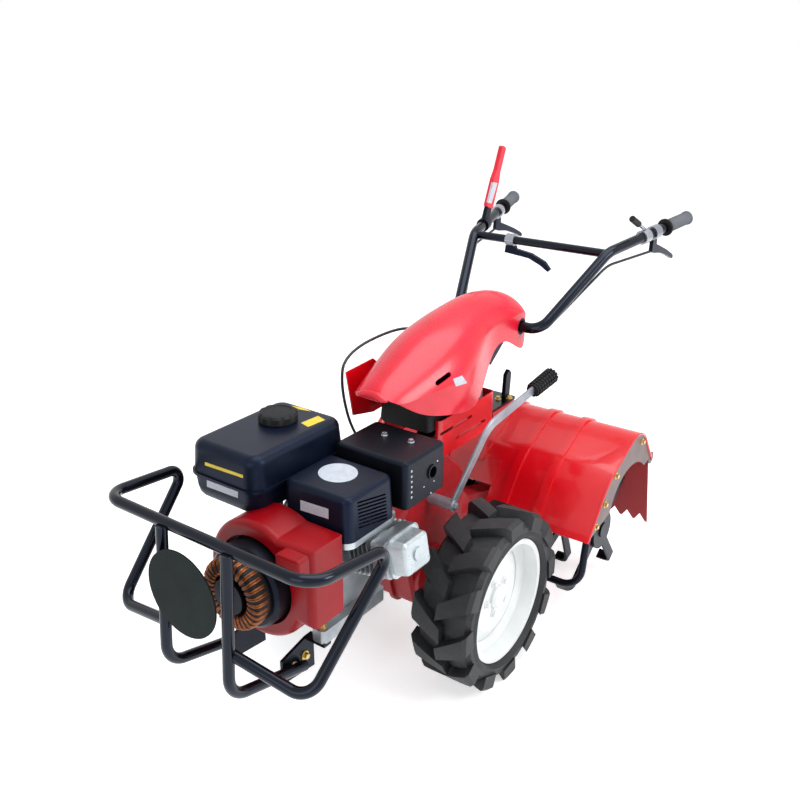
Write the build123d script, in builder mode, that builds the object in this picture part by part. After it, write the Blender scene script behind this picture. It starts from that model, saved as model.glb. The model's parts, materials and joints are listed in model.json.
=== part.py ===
from build123d import *
import os
from math import cos, radians, sin

# Two-wheel power tiller: a petrol engine ahead of a gearbox on two lug tyres, a hooded
# rotary tiller behind and handlebars on a covered column.
# +X is forward, +Y is the operator's left, +Z is up. The origin is on the floor at the
# middle of the machine's length. Sizes are in millimetres.

os.makedirs("parts", exist_ok=True)

# Common fits
RUN_FIT = 0.08
SEAT_GAP = 0.3

# Wheels
AXLE_X = 143.4
TRACK = 528
TYRE_R = 250
TYRE_W = 172
TREAD_DEPTH = 26
LUG_COUNT = 12
LUG_W = 44
LUG_FOOT_W = 60
LUG_SINK = 22
BAND_IN = 6
BAND_IN_R = 186
BAND_CHAMFER = 12
WALL_TOP_R = 198
LUG_LEAN = 60
LUG_OVERLAP = 8
SHOULDER_CHAMFER = 10
BEAD_R = 166
BEAD_HALF_W = 66
RIM_LIP_R = 176
RIM_WALL = 4
RIM_WELL_DEPTH = 24
DISC_SET = 26
DISC_FLAT_R = 100
HUB_HOLE_R = 32
HUB_FLANGE_R = 66
HUB_FLANGE_T = 14
HUB_BODY_R = 44
HUB_CAP_T = 18
SHAFT_R = 22
SHAFT_IN_Y = 100
AXLE_TUBE_R = 48
AXLE_TUBE_END_Y = 172
AXLE_TUBE_GAP = 5
WHEEL_BOLTS = 5
WHEEL_BOLT_PCD = 100
WHEEL_BOLT_R = 6
AXLE_Z = TYRE_R

# Gearbox
GEARBOX_HALF_W = 78
GEARBOX_FRONT = 140
GEARBOX_REAR = 165
GEARBOX_TOP_Z = 600
GEARBOX_SUMP_Z = 160
GEARBOX_ROUND = 38
FLANGE_T = 12
FLANGE_LIP = 10
BELL_R = 96
BELL_NECK_R = 84

# Engine, measured ahead of the wheel axle
CRANK_Z = 512
ENGINE_BACK = 225
ENGINE_FRONT = 505
CASE_HALF_W = 118
CASE_BASE_Z = 372
CASE_TOP_Z = 588
FOOT_Z = 347
FOOT_BACK = 300
FOOT_FRONT = 540
FOOT_HALF_W = 142
FOOT_RAIL_W = 42
STAY_R = 14
STAY_SINK = 24
TANK_STAYS_AHEAD = (280, 460)
TANK_STAY_Y = -64
EXHAUST_NECK_AHEAD = 268
EXHAUST_NECK_Y = 40
EXHAUST_NECK_R = 18
CYLINDER_LEAN = 10
CYLINDER_AHEAD = 362
FIN_COUNT = 6
FIN_T = 4
FIN_PITCH = 14
FIN_HALF_X = 70
FIN_HALF_W = 48
BARREL_R = 44
FIRST_FIN = 128
HEAD_T = 34
ROCKER_T = 38
ROCKER_HALF_X = 52
ROCKER_HALF_W = 46
ROCKER_BOSS_R = 17
ROCKER_BOSS_T = 4
SHROUD_FRONT = 612
SHROUD_R = 150
SHROUD_WALL = 3
SHROUD_OPEN_R = 114
SHROUD_LEFT_Y = 176
SHROUD_SIDE_LOW = 70
GENERATOR_R = 106
GENERATOR_FRONT = 650
GENERATOR_WALL = 4
WINDING_R = 88
WINDING_IN_R = 50
WINDING_T = 44
WINDING_HUB_R = 44
WINDING_COILS = 24
CONTROL_BOX_T = 34
CONTROL_BOX_W = 70
CONTROL_BOX_H = 62
CONTROL_SLOT_L = 44
CONTROL_SLOT_H = 10
CONTROL_SLOT_DEPTH = 12

# Tank, air cleaner and muffler
TANK_BACK = 228
TANK_FRONT = 572
TANK_RIGHT_Y = -260
TANK_LEFT_Y = -20
TANK_FLOOR_Z = 664
TANK_SEAM_Z = 700
TANK_TOP_Z = 786
TANK_CORNER = 42
TANK_TOP_ROUND = 24
TANK_SEAM_LIP = 5
TANK_SEAM_T = 7
CAP_R = 37
CAP_H = 26
CAP_CROWN = 5
CAP_FLUTES = 18
CAP_FLUTE_R = 4
CAP_AHEAD = 352
CAP_Y = -152
CLEANER_BACK = 312
CLEANER_FRONT = 496
CLEANER_RIGHT_Y = -18
CLEANER_LEFT_Y = 188
CLEANER_BASE_Z = 596
CLEANER_SPLIT_Z = 612
CLEANER_TOP_Z = 722
CLEANER_ROUND = 26
CLEANER_WALL = 3
LOUVRE_COUNT = 8
LOUVRE_Z = 662
LOUVRE_PITCH = 9
LOUVRE_L = 108
LOUVRE_H = 4.4
LOUVRE_SLOPE = 12
LOUVRE_DEPTH = 14
MUFFLER_BACK = 130
MUFFLER_FRONT = 300
MUFFLER_RIGHT_Y = -14
MUFFLER_LEFT_Y = 205
MUFFLER_FLOOR_Z = 620
MUFFLER_TOP_Z = 744
OUTLET_R = 15
OUTLET_DEPTH = 34
OUTLET_LIP = 4
OUTLET_WALL = 4
MUFFLER_WALL = 3
VENT_INSET = 24
VENT_PITCH = 14
VENT_COUNT = 6
VENT_R = 3

# Bumper, measured ahead of the wheel axle
BUMPER_TUBE_R = 13.5
BUMPER_AHEAD = 766
BUMPER_HALF_W = 314
BUMPER_TOP_Z = 701
BUMPER_BACK = 512
BUMPER_BACK_Z = 672
BUMPER_LOW_Z = 417
UPRIGHT_Y = 100
UPRIGHT_FOOT_AHEAD = 806
UPRIGHT_FOOT_Z = 353
BRACKET_BACK = 515
BRACKET_FRONT = 625
BRACKET_T = 8
PLATE_R = 105
PLATE_T = 4
PLATE_STAND = 2
PLATE_AHEAD = UPRIGHT_FOOT_AHEAD + PLATE_STAND
PLATE_Z = 574
PLATE_Y = -18

# Handlebar and column
PIVOT_BEHIND = 455
PIVOT_Z = 866
HANDLE_TUBE_R = 16
CHEEK_T = 10
CHEEK_R = 34
COLUMN_W = 56
COLUMN_D = 64
COLUMN_FOOT_BEHIND = 20
HANDLE_ELBOW_Y = 146
HANDLE_BEND = (-692, 236, 1066)
HANDLE_END = (-1092, 322, 1116)
HANDLE_BENDS = [52, 90]
CROSS_BAR_R = 13
CROSS_BAR_HALF = 228
CROSS_BAR_AT = (-697, 1060)
GRIP_R = 20
GRIP_LENGTH = 128
GRIP_FLANGE_R = 26

# Gear lever, column housing, hitch plate and tiller lever
GEAR_LEVER_RUN = ((9, 150, 490), (-92, 198, 702), (-443, 198, 740))
GEAR_LEVER_BEND = 40
LEVER_ROD_R = 9
LEVER_BOSS_R = 16
LEVER_GRIP_R = 19
LEVER_GRIP_L = 115
HOUSING_BACK = 285
HOUSING_HALF_W = 100
HOUSING_TOP_Z = 720
HOUSING_SILL_H = 30
HOUSING_WALL = 3
HOUSING_ROUND = 14
HOUSING_GROOVES = ((-84, 682), (-158, 644))
GROOVE_L = 156
GROOVE_H = 9
COLUMN_GAP_HALF_W = 60
COLUMN_GAP_H = 34
HITCH_BACK = 428
HITCH_Z = 653
HITCH_T = 8
HITCH_HALF_W = 92
HITCH_FLANGE_H = 38
TILLER_LEVER_BACK = 424
TILLER_LEVER_Y = 65
TILLER_LEVER_W = 28
TILLER_LEVER_H = 84
TILLER_LEVER_T = 12

# Hand controls: collars are placed by the distance of their middle from the arm's end
COLLAR_WALL = 6
COLLAR_W = 30
HAND_COLLAR_IN = 177
THROTTLE_COLLAR_IN = 231
CLUTCH_COLLAR_IN = 319
CLUTCH_RISE = 56
CLUTCH_L = 208
CLUTCH_LEAN = 23
CLUTCH_HALF_W = 20
CLUTCH_NECK_HALF_W = 13
CLUTCH_T = 14
HAND_LEVER_T = 12
BAR_LEVER_Y = -100
THROTTLE_TIP = (-766, 270, 1160)
THROTTLE_R = 5
KNOB_R = 10
KNOB_L = 58
KNOB_ROUND = 3
CABLE_R = 4
CABLE_BEND = 90
CABLE_SHORT_BEND = 36
GEARBOX_CABLE_RUN = (
    (-205, -40, 880), (-160, -150, 900), (90, -150, 890), (122, -140, 800), (90, -120, 640), (40, -60, 540)
)

# Column cover: station ahead of the axle, half-width, low edge, shoulder and crown of each section
COVER_SECTIONS = (
    (164, 52, 822, 826, 842),
    (90, 92, 775, 815, 880),
    (-30, 122, 738, 825, 930),
    (-150, 118, 726, 850, 964),
    (-225, 98, 760, 876, 978),
    (-290, 84, 822, 894, 985),
    (-400, 84, 828, 908, 976),
    (-488, 78, 832, 896, 938),
)
COVER_WALL = 3
COVER_OPEN = 40
COVER_SLOT_AT = (0, 846)
COVER_SLOT_L = 58
COVER_SLOT_H = 13
COVER_SLOT_SLOPE = -16
HANDLE_ROOM = 7
COVER_STAY_BEHIND = 225
COVER_STAY_Z = 806
COVER_STAY_W = 24
COVER_STAY_T = 8
COVER_STAY_POST_W = 30

# Tiller
HOOD_HALF_W = 420
HOOD_WALL = 3
HOOD_EDGE = (-300, 312)
HOOD_KNEE = (-415, 462)
HOOD_CREST = (-640, 566)
HOOD_HEEL = (-742, 420)
KNEE_ROUND = 260
CREST_ROUND = 90
RIB_H = 6
RIB_W = 26
RIB_STATIONS = (-240, -125, 0, 125, 240)
HOOD_NOTCH_W = 130
HOOD_POST_BACK = 560
HOOD_POST_FRONT = 490
HOOD_POST_HALF_W = 16
ROTOR_BEHIND = 545
TINE_R = 224
TINE_CLEAR = 0.6
TINE_W = 32
TINE_T = 8
TINE_LEG = 46
TINE_BEND = 22
TINES_PER_FLANGE = 4
ROTOR_SHAFT_R = 24
ROTOR_FLANGE_R = 62
ROTOR_FLANGE_T = 10
ROTOR_FIRST_FLANGE = 95
ROTOR_END_GAP = 65
LEG_HALF_W = 32
LEG_R = 66
LEG_DEEP = 48
COUPLING_Z = 330
COUPLING_R = 62
FLAP_DROP = 270
FLAP_LEAN = 12
FLAP_T = 3
FLAP_TEETH = 18
TOOTH_PITCH = 45
TOOTH_NOTCH_W = 40
TOOTH_H = 28
FLAP_PIN_R = 7
HOOD_NOTCH_H = 120
PLATE_INSET = 3
END_PLATE_T = 3
ARCH_CENTRE = (-590, 300)
ARCH_R = 150
COUPLING_REACH = 45
FLAP_SIDE_GAP = 12
FLAP_EAR_R = 20
GUARD_R = 11
GUARD_BEND = 60
GUARD_TOP = (-335, 336)
GUARD_LOW = (-304, 152)


def fore(distance):
    """Place along the machine of a point so far ahead of the wheel axle."""
    return AXLE_X + distance


def at(point):
    """Point of the machine given as ahead of the axle, left, up."""
    return (fore(point[0]), point[1], point[2])


def save(piece, label):
    """Name a finished piece and write it."""
    piece.part.label = label
    export_step(piece.part, f"parts/{label}.step")


def bent_bar(points, bends, radius):
    """Round bar along straight runs joined by tangent bends."""
    with BuildPart() as bar:
        with BuildLine() as path:
            if bends:
                FilletPolyline(*points, radius=bends)
            else:
                Polyline(*points)
        with BuildSketch(Plane(origin=path.line @ 0, z_dir=path.line % 0)):
            Circle(radius)
        sweep()
    return bar.part


def mirrored(point):
    """The same point on the machine's other side."""
    return (point[0], -point[1], point[2])


# Wheels
WHEEL_AXIS = Axis((AXLE_X, 0, AXLE_Z), (0, 1, 0))
CARCASS_R = TYRE_R - TREAD_DEPTH
LUG_ROOT_R = CARCASS_R - LUG_SINK


def wheel_section(side):
    """Plane through the wheel axis: local x points outboard, local y is the radius."""
    return Plane(origin=(AXLE_X, side * TRACK / 2, AXLE_Z), x_dir=(0, side, 0), z_dir=(side, 0, 0))


def tread_plane(angle):
    """Plane under the left tyre's tread at an angle from the top, local x along the way the tread runs."""
    up = (sin(radians(angle)), 0, cos(radians(angle)))
    along = (up[2], 0, -up[0])
    origin = (AXLE_X + LUG_ROOT_R * up[0], TRACK / 2, AXLE_Z + LUG_ROOT_R * up[2])
    return Plane(origin=origin, x_dir=along, z_dir=up)


def make_lug(row):
    """One tread bar at the top of the left tyre, leaning back from the middle to its shoulder."""
    half = TYRE_W / 2
    tip = LUG_LEAN / 2
    outline = [
        (-tip + LUG_FOOT_W / 2, row * (half + 1)),
        (-tip - LUG_FOOT_W / 2, row * (half + 1)),
        (tip - LUG_W / 2, -row * LUG_OVERLAP),
        (tip + LUG_W / 2, -row * LUG_OVERLAP),
    ]
    with BuildPart() as lug:
        with BuildSketch(tread_plane(row * 90 / LUG_COUNT)):
            Polygon(*outline[::row], align=None)
        extrude(amount=TYRE_R - LUG_ROOT_R + TREAD_DEPTH)
        with BuildSketch(wheel_section(1)):
            Polygon(
                (-half, BEAD_R),
                (-half, TYRE_R - SHOULDER_CHAMFER),
                (-half + SHOULDER_CHAMFER, TYRE_R),
                (half - SHOULDER_CHAMFER, TYRE_R),
                (half, TYRE_R - SHOULDER_CHAMFER),
                (half, BEAD_R),
                align=None,
            )
        revolve(axis=WHEEL_AXIS, mode=Mode.INTERSECT)
    return lug.part


# Tyres: chevron bars in two staggered rows on a flat-sided tread band between round side walls
lugs = [make_lug(row) for row in (1, -1)]
with BuildPart() as tyre_left:
    with BuildSketch(Plane(origin=(AXLE_X, TRACK / 2, AXLE_Z), x_dir=(1, 0, 0), z_dir=(0, 1, 0))):
        RegularPolygon(CARCASS_R, 2 * LUG_COUNT)
        Circle(BAND_IN_R, mode=Mode.SUBTRACT)
    extrude(amount=TYRE_W / 2 - BAND_IN, both=True)
    for band_end in (0, -1):
        outline = tyre_left.faces().sort_by(Axis.Y)[band_end].outer_wire().edges()
        chamfer(outline, BAND_CHAMFER)
    with BuildSketch(wheel_section(1)):
        with BuildLine():
            wall_top = (TYRE_W / 2 - BAND_IN, WALL_TOP_R)
            wall_out = (TYRE_W / 2 - 1, (RIM_LIP_R + WALL_TOP_R) / 2)
            wall_foot = (BEAD_HALF_W, RIM_LIP_R + 1)
            inboard = [(-w, r) for w, r in (wall_foot, wall_out, wall_top)]
            Polyline(wall_foot, (BEAD_HALF_W, BEAD_R), (-BEAD_HALF_W, BEAD_R), inboard[0])
            Polyline(*inboard, wall_top, wall_out, wall_foot)
        make_face()
    revolve(axis=WHEEL_AXIS)
    for lug in lugs:
        for bar in range(LUG_COUNT):
            add(lug.rotate(WHEEL_AXIS, bar * 360 / LUG_COUNT))
save(tyre_left, "tyre_left")

with BuildPart() as tyre_right:
    add(tyre_left.part)
    mirror(about=Plane.XZ, mode=Mode.REPLACE)
save(tyre_right, "tyre_right")


def make_rim(side, label):
    """Pressed wheel: drop-centre rim with a dished disc and a ring of bolt holes."""
    lip = BEAD_HALF_W + SEAT_GAP
    seat = BEAD_R - SEAT_GAP
    well = seat - RIM_WELL_DEPTH
    with BuildPart() as rim:
        with BuildSketch(wheel_section(side)):
            Polygon(
                (-lip - RIM_WALL, RIM_LIP_R),
                (-lip, RIM_LIP_R),
                (-lip, seat),
                (-30, seat),
                (-18, well),
                (18, well),
                (30, seat),
                (lip, seat),
                (lip, RIM_LIP_R),
                (lip + RIM_WALL, RIM_LIP_R),
                (lip + RIM_WALL, seat - RIM_WALL),
                (28, seat - RIM_WALL),
                (16, well - RIM_WALL),
                (-16, well - RIM_WALL),
                (-28, seat - RIM_WALL),
                (-lip - RIM_WALL, seat - RIM_WALL),
                align=None,
            )
        revolve(axis=WHEEL_AXIS)
        with BuildSketch(wheel_section(side)):
            Polygon(
                (2, well - RIM_WALL / 2),
                (10, well - RIM_WALL / 2),
                (DISC_SET + RIM_WALL, DISC_FLAT_R),
                (DISC_SET + RIM_WALL, HUB_HOLE_R),
                (DISC_SET, HUB_HOLE_R),
                (DISC_SET, DISC_FLAT_R - RIM_WALL),
                align=None,
            )
        revolve(axis=WHEEL_AXIS)
        outer = Plane(
            origin=(AXLE_X, side * (TRACK / 2 + DISC_SET), AXLE_Z), x_dir=(1, 0, 0), z_dir=(0, side, 0)
        )
        with BuildSketch(outer):
            with PolarLocations(WHEEL_BOLT_PCD / 2, WHEEL_BOLTS):
                Circle(WHEEL_BOLT_R)
        extrude(amount=RIM_WALL * 2, both=True, mode=Mode.SUBTRACT)
    save(rim, label)


def make_hub(side, label):
    """Driven hub: flange behind the wheel disc, cap through it and the shaft into the axle tube."""
    face = DISC_SET
    hub_in = AXLE_TUBE_END_Y + AXLE_TUBE_GAP - TRACK / 2
    with BuildPart() as hub:
        with BuildSketch(wheel_section(side)):
            Polygon(
                (face + HUB_CAP_T, 0),
                (face + HUB_CAP_T, HUB_HOLE_R - 8),
                (face + HUB_CAP_T - 6, HUB_HOLE_R - SEAT_GAP),
                (face, HUB_HOLE_R - SEAT_GAP),
                (face, HUB_FLANGE_R),
                (face - HUB_FLANGE_T, HUB_FLANGE_R),
                (face - HUB_FLANGE_T - 10, HUB_BODY_R),
                (hub_in, HUB_BODY_R),
                (hub_in, SHAFT_R),
                (SHAFT_IN_Y - TRACK / 2, SHAFT_R),
                (SHAFT_IN_Y - TRACK / 2, 0),
                align=None,
            )
        revolve(axis=WHEEL_AXIS)
    save(hub, label)


def make_axle_tube(side, label):
    """Flared axle housing from the gearbox to the hub, bored for the shaft."""
    start = GEARBOX_HALF_W - TRACK / 2
    end = AXLE_TUBE_END_Y - TRACK / 2
    floor = SHAFT_IN_Y - 3 - TRACK / 2
    with BuildPart() as tube:
        with BuildSketch(wheel_section(side)):
            Polygon(
                (start, 0),
                (start, AXLE_TUBE_R + 34),
                (start + 14, AXLE_TUBE_R + 34),
                (start + 26, AXLE_TUBE_R + 8),
                (end - 16, AXLE_TUBE_R - 4),
                (end - 16, AXLE_TUBE_R),
                (end, AXLE_TUBE_R),
                (end, SHAFT_R + RUN_FIT),
                (floor, SHAFT_R + RUN_FIT),
                (floor, 0),
                align=None,
            )
        revolve(axis=WHEEL_AXIS)
    save(tube, label)


for wheel_side, wheel_name in ((1, "left"), (-1, "right")):
    make_rim(wheel_side, f"wheel_disc_{wheel_name}")
    make_hub(wheel_side, f"wheel_hub_{wheel_name}")
    make_axle_tube(wheel_side, f"axle_tube_{wheel_name}")

# Gearbox with its bell housing and the tiller coupling
with BuildPart() as gearbox:
    with BuildSketch(Plane.XZ) as case_side:
        with BuildLine():
            Polyline(
                (fore(GEARBOX_FRONT), CRANK_Z - BELL_NECK_R),
                (fore(GEARBOX_FRONT), GEARBOX_TOP_Z),
                (fore(-70), GEARBOX_TOP_Z),
                (fore(-GEARBOX_REAR), CRANK_Z),
                (fore(-GEARBOX_REAR), COUPLING_Z - COUPLING_R),
                (fore(-60), GEARBOX_SUMP_Z),
                (fore(70), GEARBOX_SUMP_Z),
                close=True,
            )
        make_face()
        fillet(case_side.vertices(), GEARBOX_ROUND)
    extrude(amount=GEARBOX_HALF_W, both=True)
    chamfer(gearbox.edges().filter_by(GeomType.LINE).group_by(Axis.Y)[0], 10)
    chamfer(gearbox.edges().filter_by(GeomType.LINE).group_by(Axis.Y)[-1], 10)
    with BuildSketch(Plane.XZ):
        add(case_side.sketch)
        offset(amount=FLANGE_LIP)
    extrude(amount=FLANGE_T / 2, both=True)
    with BuildSketch(Plane.YZ.offset(fore(GEARBOX_FRONT - 20))):
        with Locations((0, CRANK_Z)):
            Circle(BELL_NECK_R)
    with BuildSketch(Plane.YZ.offset(fore(ENGINE_BACK - 18))):
        with Locations((0, CRANK_Z)):
            Circle(BELL_R)
    loft()
    with BuildSketch(Plane.YZ.offset(fore(ENGINE_BACK - 18))):
        with Locations((0, CRANK_Z)):
            Circle(BELL_R + FLANGE_LIP)
    extrude(amount=18)
    with BuildSketch(Plane.XY.offset(GEARBOX_TOP_Z - 5)):
        with Locations((fore(-COLUMN_FOOT_BEHIND), 0)):
            Rectangle(COLUMN_D + 44, COLUMN_W + 24)
    extrude(amount=FLANGE_LIP + 5)
    with BuildSketch(Plane.YZ.offset(fore(-GEARBOX_REAR + 10))):
        with Locations((0, COUPLING_Z)):
            Circle(COUPLING_R)
    extrude(amount=-COUPLING_REACH - 10)
save(gearbox, "gearbox")

# Engine crankcase with its foot
with BuildPart() as crankcase:
    with BuildSketch(Plane.YZ.offset(fore(ENGINE_BACK))) as case_end:
        with BuildLine():
            Polyline(
                (-CASE_HALF_W, CASE_BASE_Z),
                (-CASE_HALF_W, CASE_TOP_Z - 50),
                (-CASE_HALF_W + 50, CASE_TOP_Z),
                (CASE_HALF_W - 40, CASE_TOP_Z),
                (CASE_HALF_W, CASE_TOP_Z - 30),
                (CASE_HALF_W, CASE_BASE_Z),
                close=True,
            )
        make_face()
        fillet(case_end.vertices(), 16)
    extrude(amount=ENGINE_FRONT - ENGINE_BACK)
    with BuildSketch(Plane.XY.offset(FOOT_Z)):
        with Locations((fore((FOOT_BACK + FOOT_FRONT) / 2), 0)):
            with GridLocations(0, 2 * FOOT_HALF_W - FOOT_RAIL_W, 1, 2):
                RectangleRounded(FOOT_FRONT - FOOT_BACK, FOOT_RAIL_W, 12)
    extrude(amount=CASE_BASE_Z - FOOT_Z + 10)
    with BuildSketch(Plane.XY.offset(CASE_TOP_Z - STAY_SINK)):
        for ahead in TANK_STAYS_AHEAD:
            with Locations((fore(ahead), TANK_STAY_Y)):
                Circle(STAY_R)
    extrude(amount=TANK_FLOOR_Z - CASE_TOP_Z + STAY_SINK)
    with BuildSketch(Plane.XY.offset(CASE_TOP_Z - STAY_SINK)):
        with Locations((fore(EXHAUST_NECK_AHEAD), EXHAUST_NECK_Y)):
            Circle(EXHAUST_NECK_R)
    extrude(amount=MUFFLER_TOP_Z - MUFFLER_WALL - CASE_TOP_Z + STAY_SINK)
save(crankcase, "crankcase")

# Finned cylinder leaning to the left, with its head
cylinder_plane = Plane(
    origin=(fore(CYLINDER_AHEAD), 0, CRANK_Z),
    x_dir=(1, 0, 0),
    z_dir=(0, cos(radians(CYLINDER_LEAN)), sin(radians(CYLINDER_LEAN))),
)
HEAD_START = FIRST_FIN + FIN_COUNT * FIN_PITCH
HEAD_END = HEAD_START + HEAD_T
CYLINDER_START = CASE_HALF_W - BARREL_R
with BuildPart() as cylinder:
    with BuildSketch(cylinder_plane.offset(CYLINDER_START)):
        Circle(BARREL_R)
    extrude(amount=HEAD_END - CYLINDER_START)
    for fin in range(FIN_COUNT):
        with BuildSketch(cylinder_plane.offset(FIRST_FIN + 10 + fin * FIN_PITCH)):
            RectangleRounded(2 * FIN_HALF_X, 2 * FIN_HALF_W, 12)
        extrude(amount=FIN_T)
    with BuildSketch(cylinder_plane.offset(HEAD_START)):
        RectangleRounded(2 * FIN_HALF_X, 2 * FIN_HALF_W, 16)
    extrude(amount=HEAD_T)
    add(crankcase.part, mode=Mode.SUBTRACT)
save(cylinder, "cylinder")

with BuildPart() as rocker_cover:
    with BuildSketch(cylinder_plane.offset(HEAD_END)):
        RectangleRounded(2 * ROCKER_HALF_X + 12, 2 * ROCKER_HALF_W + 12, 20)
    extrude(amount=6)
    with BuildSketch(cylinder_plane.offset(HEAD_END + 6)):
        RectangleRounded(2 * ROCKER_HALF_X, 2 * ROCKER_HALF_W, 18)
    extrude(amount=ROCKER_T, taper=8)
    fillet(rocker_cover.faces().sort_by(Axis.Y)[-1].edges(), 8)
    with BuildSketch(cylinder_plane.offset(HEAD_END + 6 + ROCKER_T)):
        Circle(ROCKER_BOSS_R)
    extrude(amount=ROCKER_BOSS_T)
save(rocker_cover, "rocker_cover")

# Fan shroud: a round pressed cowl with a flat wing towards the cylinder
with BuildPart() as fan_shroud:
    with BuildSketch(Plane.YZ.offset(fore(ENGINE_FRONT))) as cowl:
        with Locations((0, CRANK_Z)):
            Circle(SHROUD_R)
        with BuildLine():
            Polyline(
                (0, CRANK_Z - SHROUD_SIDE_LOW),
                (SHROUD_LEFT_Y, CRANK_Z - SHROUD_SIDE_LOW),
                (SHROUD_LEFT_Y, CRANK_Z + SHROUD_R * 0.88),
                (0, CRANK_Z + SHROUD_R * 0.88),
                close=True,
            )
        make_face()
    extrude(amount=SHROUD_FRONT - ENGINE_FRONT)
    fillet(fan_shroud.faces().sort_by(Axis.X)[-1].edges(), 18)
    offset(amount=-SHROUD_WALL, openings=fan_shroud.faces().sort_by(Axis.X)[0])
    with BuildSketch(Plane.YZ.offset(fore(SHROUD_FRONT))):
        with Locations((0, CRANK_Z)):
            Circle(SHROUD_OPEN_R)
    extrude(amount=-SHROUD_WALL * 3, mode=Mode.SUBTRACT)
save(fan_shroud, "fan_shroud")

with BuildPart() as generator:
    with BuildSketch(Plane.YZ.offset(fore(ENGINE_FRONT))):
        with Locations((0, CRANK_Z)):
            Circle(GENERATOR_R)
    extrude(amount=GENERATOR_FRONT - ENGINE_FRONT)
    chamfer(generator.faces().sort_by(Axis.X)[-1].edges(), 8)
    offset(amount=-GENERATOR_WALL, openings=generator.faces().sort_by(Axis.X)[0])
    with BuildSketch(Plane.YZ.offset(fore(GENERATOR_FRONT))):
        with Locations((0, CRANK_Z)):
            Circle(WINDING_HUB_R)
    extrude(amount=WINDING_T + 4)
save(generator, "generator")

with BuildPart() as winding_ring:
    with BuildSketch(Plane.YZ.offset(fore(GENERATOR_FRONT))):
        with Locations((0, CRANK_Z)):
            Circle(WINDING_R)
            Circle(WINDING_IN_R, mode=Mode.SUBTRACT)
    extrude(amount=WINDING_T)
    fillet(winding_ring.faces().sort_by(Axis.X)[-1].edges(), 14)
save(winding_ring, "winding_ring")

with BuildPart() as control_box:
    with BuildSketch(Plane.YZ.offset(fore(SHROUD_FRONT))):
        with Locations((SHROUD_LEFT_Y - CONTROL_BOX_W / 2 - 4, CRANK_Z + 96)):
            RectangleRounded(CONTROL_BOX_W, CONTROL_BOX_H, 8)
    extrude(amount=CONTROL_BOX_T)
    fillet(control_box.faces().sort_by(Axis.X)[-1].edges(), 5)
    with BuildSketch(Plane.YZ.offset(fore(SHROUD_FRONT + CONTROL_BOX_T))):
        with Locations((SHROUD_LEFT_Y - CONTROL_BOX_W / 2 - 4, CRANK_Z + 96)):
            SlotOverall(CONTROL_SLOT_L, CONTROL_SLOT_H)
    extrude(amount=-CONTROL_SLOT_DEPTH, mode=Mode.SUBTRACT)
save(control_box, "control_box")

# Fuel tank
tank_middle = (fore((TANK_BACK + TANK_FRONT) / 2), (TANK_RIGHT_Y + TANK_LEFT_Y) / 2)
TANK_L = TANK_FRONT - TANK_BACK
TANK_W = TANK_LEFT_Y - TANK_RIGHT_Y
with BuildPart() as fuel_tank:
    with BuildSketch(Plane.XY.offset(TANK_SEAM_Z)):
        with Locations(tank_middle):
            RectangleRounded(TANK_L - 12, TANK_W - 12, TANK_CORNER)
    extrude(amount=TANK_FLOOR_Z - TANK_SEAM_Z, taper=6)
    with BuildSketch(Plane.XY.offset(TANK_SEAM_Z)):
        with Locations(tank_middle):
            RectangleRounded(TANK_L, TANK_W, TANK_CORNER + TANK_SEAM_LIP)
    extrude(amount=TANK_SEAM_T)
    with BuildSketch(Plane.XY.offset(TANK_SEAM_Z + TANK_SEAM_T)):
        with Locations(tank_middle):
            RectangleRounded(TANK_L - 2 * TANK_SEAM_LIP, TANK_W - 2 * TANK_SEAM_LIP, TANK_CORNER)
    extrude(amount=TANK_TOP_Z - TANK_SEAM_Z - TANK_SEAM_T, taper=5)
    fillet(fuel_tank.faces().sort_by(Axis.Z)[-1].edges(), TANK_TOP_ROUND)
save(fuel_tank, "fuel_tank")

with BuildPart() as fuel_cap:
    with BuildSketch(Plane.XY.offset(TANK_TOP_Z)):
        with Locations((fore(CAP_AHEAD), CAP_Y)):
            Circle(CAP_R)
            with PolarLocations(CAP_R + CAP_FLUTE_R / 3, CAP_FLUTES):
                Circle(CAP_FLUTE_R, mode=Mode.SUBTRACT)
    extrude(amount=CAP_H - CAP_CROWN)
    with BuildSketch(Plane.XY.offset(TANK_TOP_Z + CAP_H - CAP_CROWN)):
        with Locations((fore(CAP_AHEAD), CAP_Y)):
            Circle(CAP_R - CAP_FLUTE_R)
    extrude(amount=CAP_CROWN, taper=30)
save(fuel_cap, "fuel_cap")

# Air cleaner and carburettor
cleaner_middle = (fore((CLEANER_BACK + CLEANER_FRONT) / 2), (CLEANER_RIGHT_Y + CLEANER_LEFT_Y) / 2)
CLEANER_L = CLEANER_FRONT - CLEANER_BACK
CLEANER_W = CLEANER_LEFT_Y - CLEANER_RIGHT_Y
with BuildPart() as cleaner_base:
    with BuildSketch(Plane.XY.offset(CLEANER_BASE_Z)):
        with Locations(cleaner_middle):
            RectangleRounded(CLEANER_L, CLEANER_W, CLEANER_ROUND)
    extrude(amount=CLEANER_SPLIT_Z - CLEANER_BASE_Z)
save(cleaner_base, "air_cleaner_base")

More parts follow.
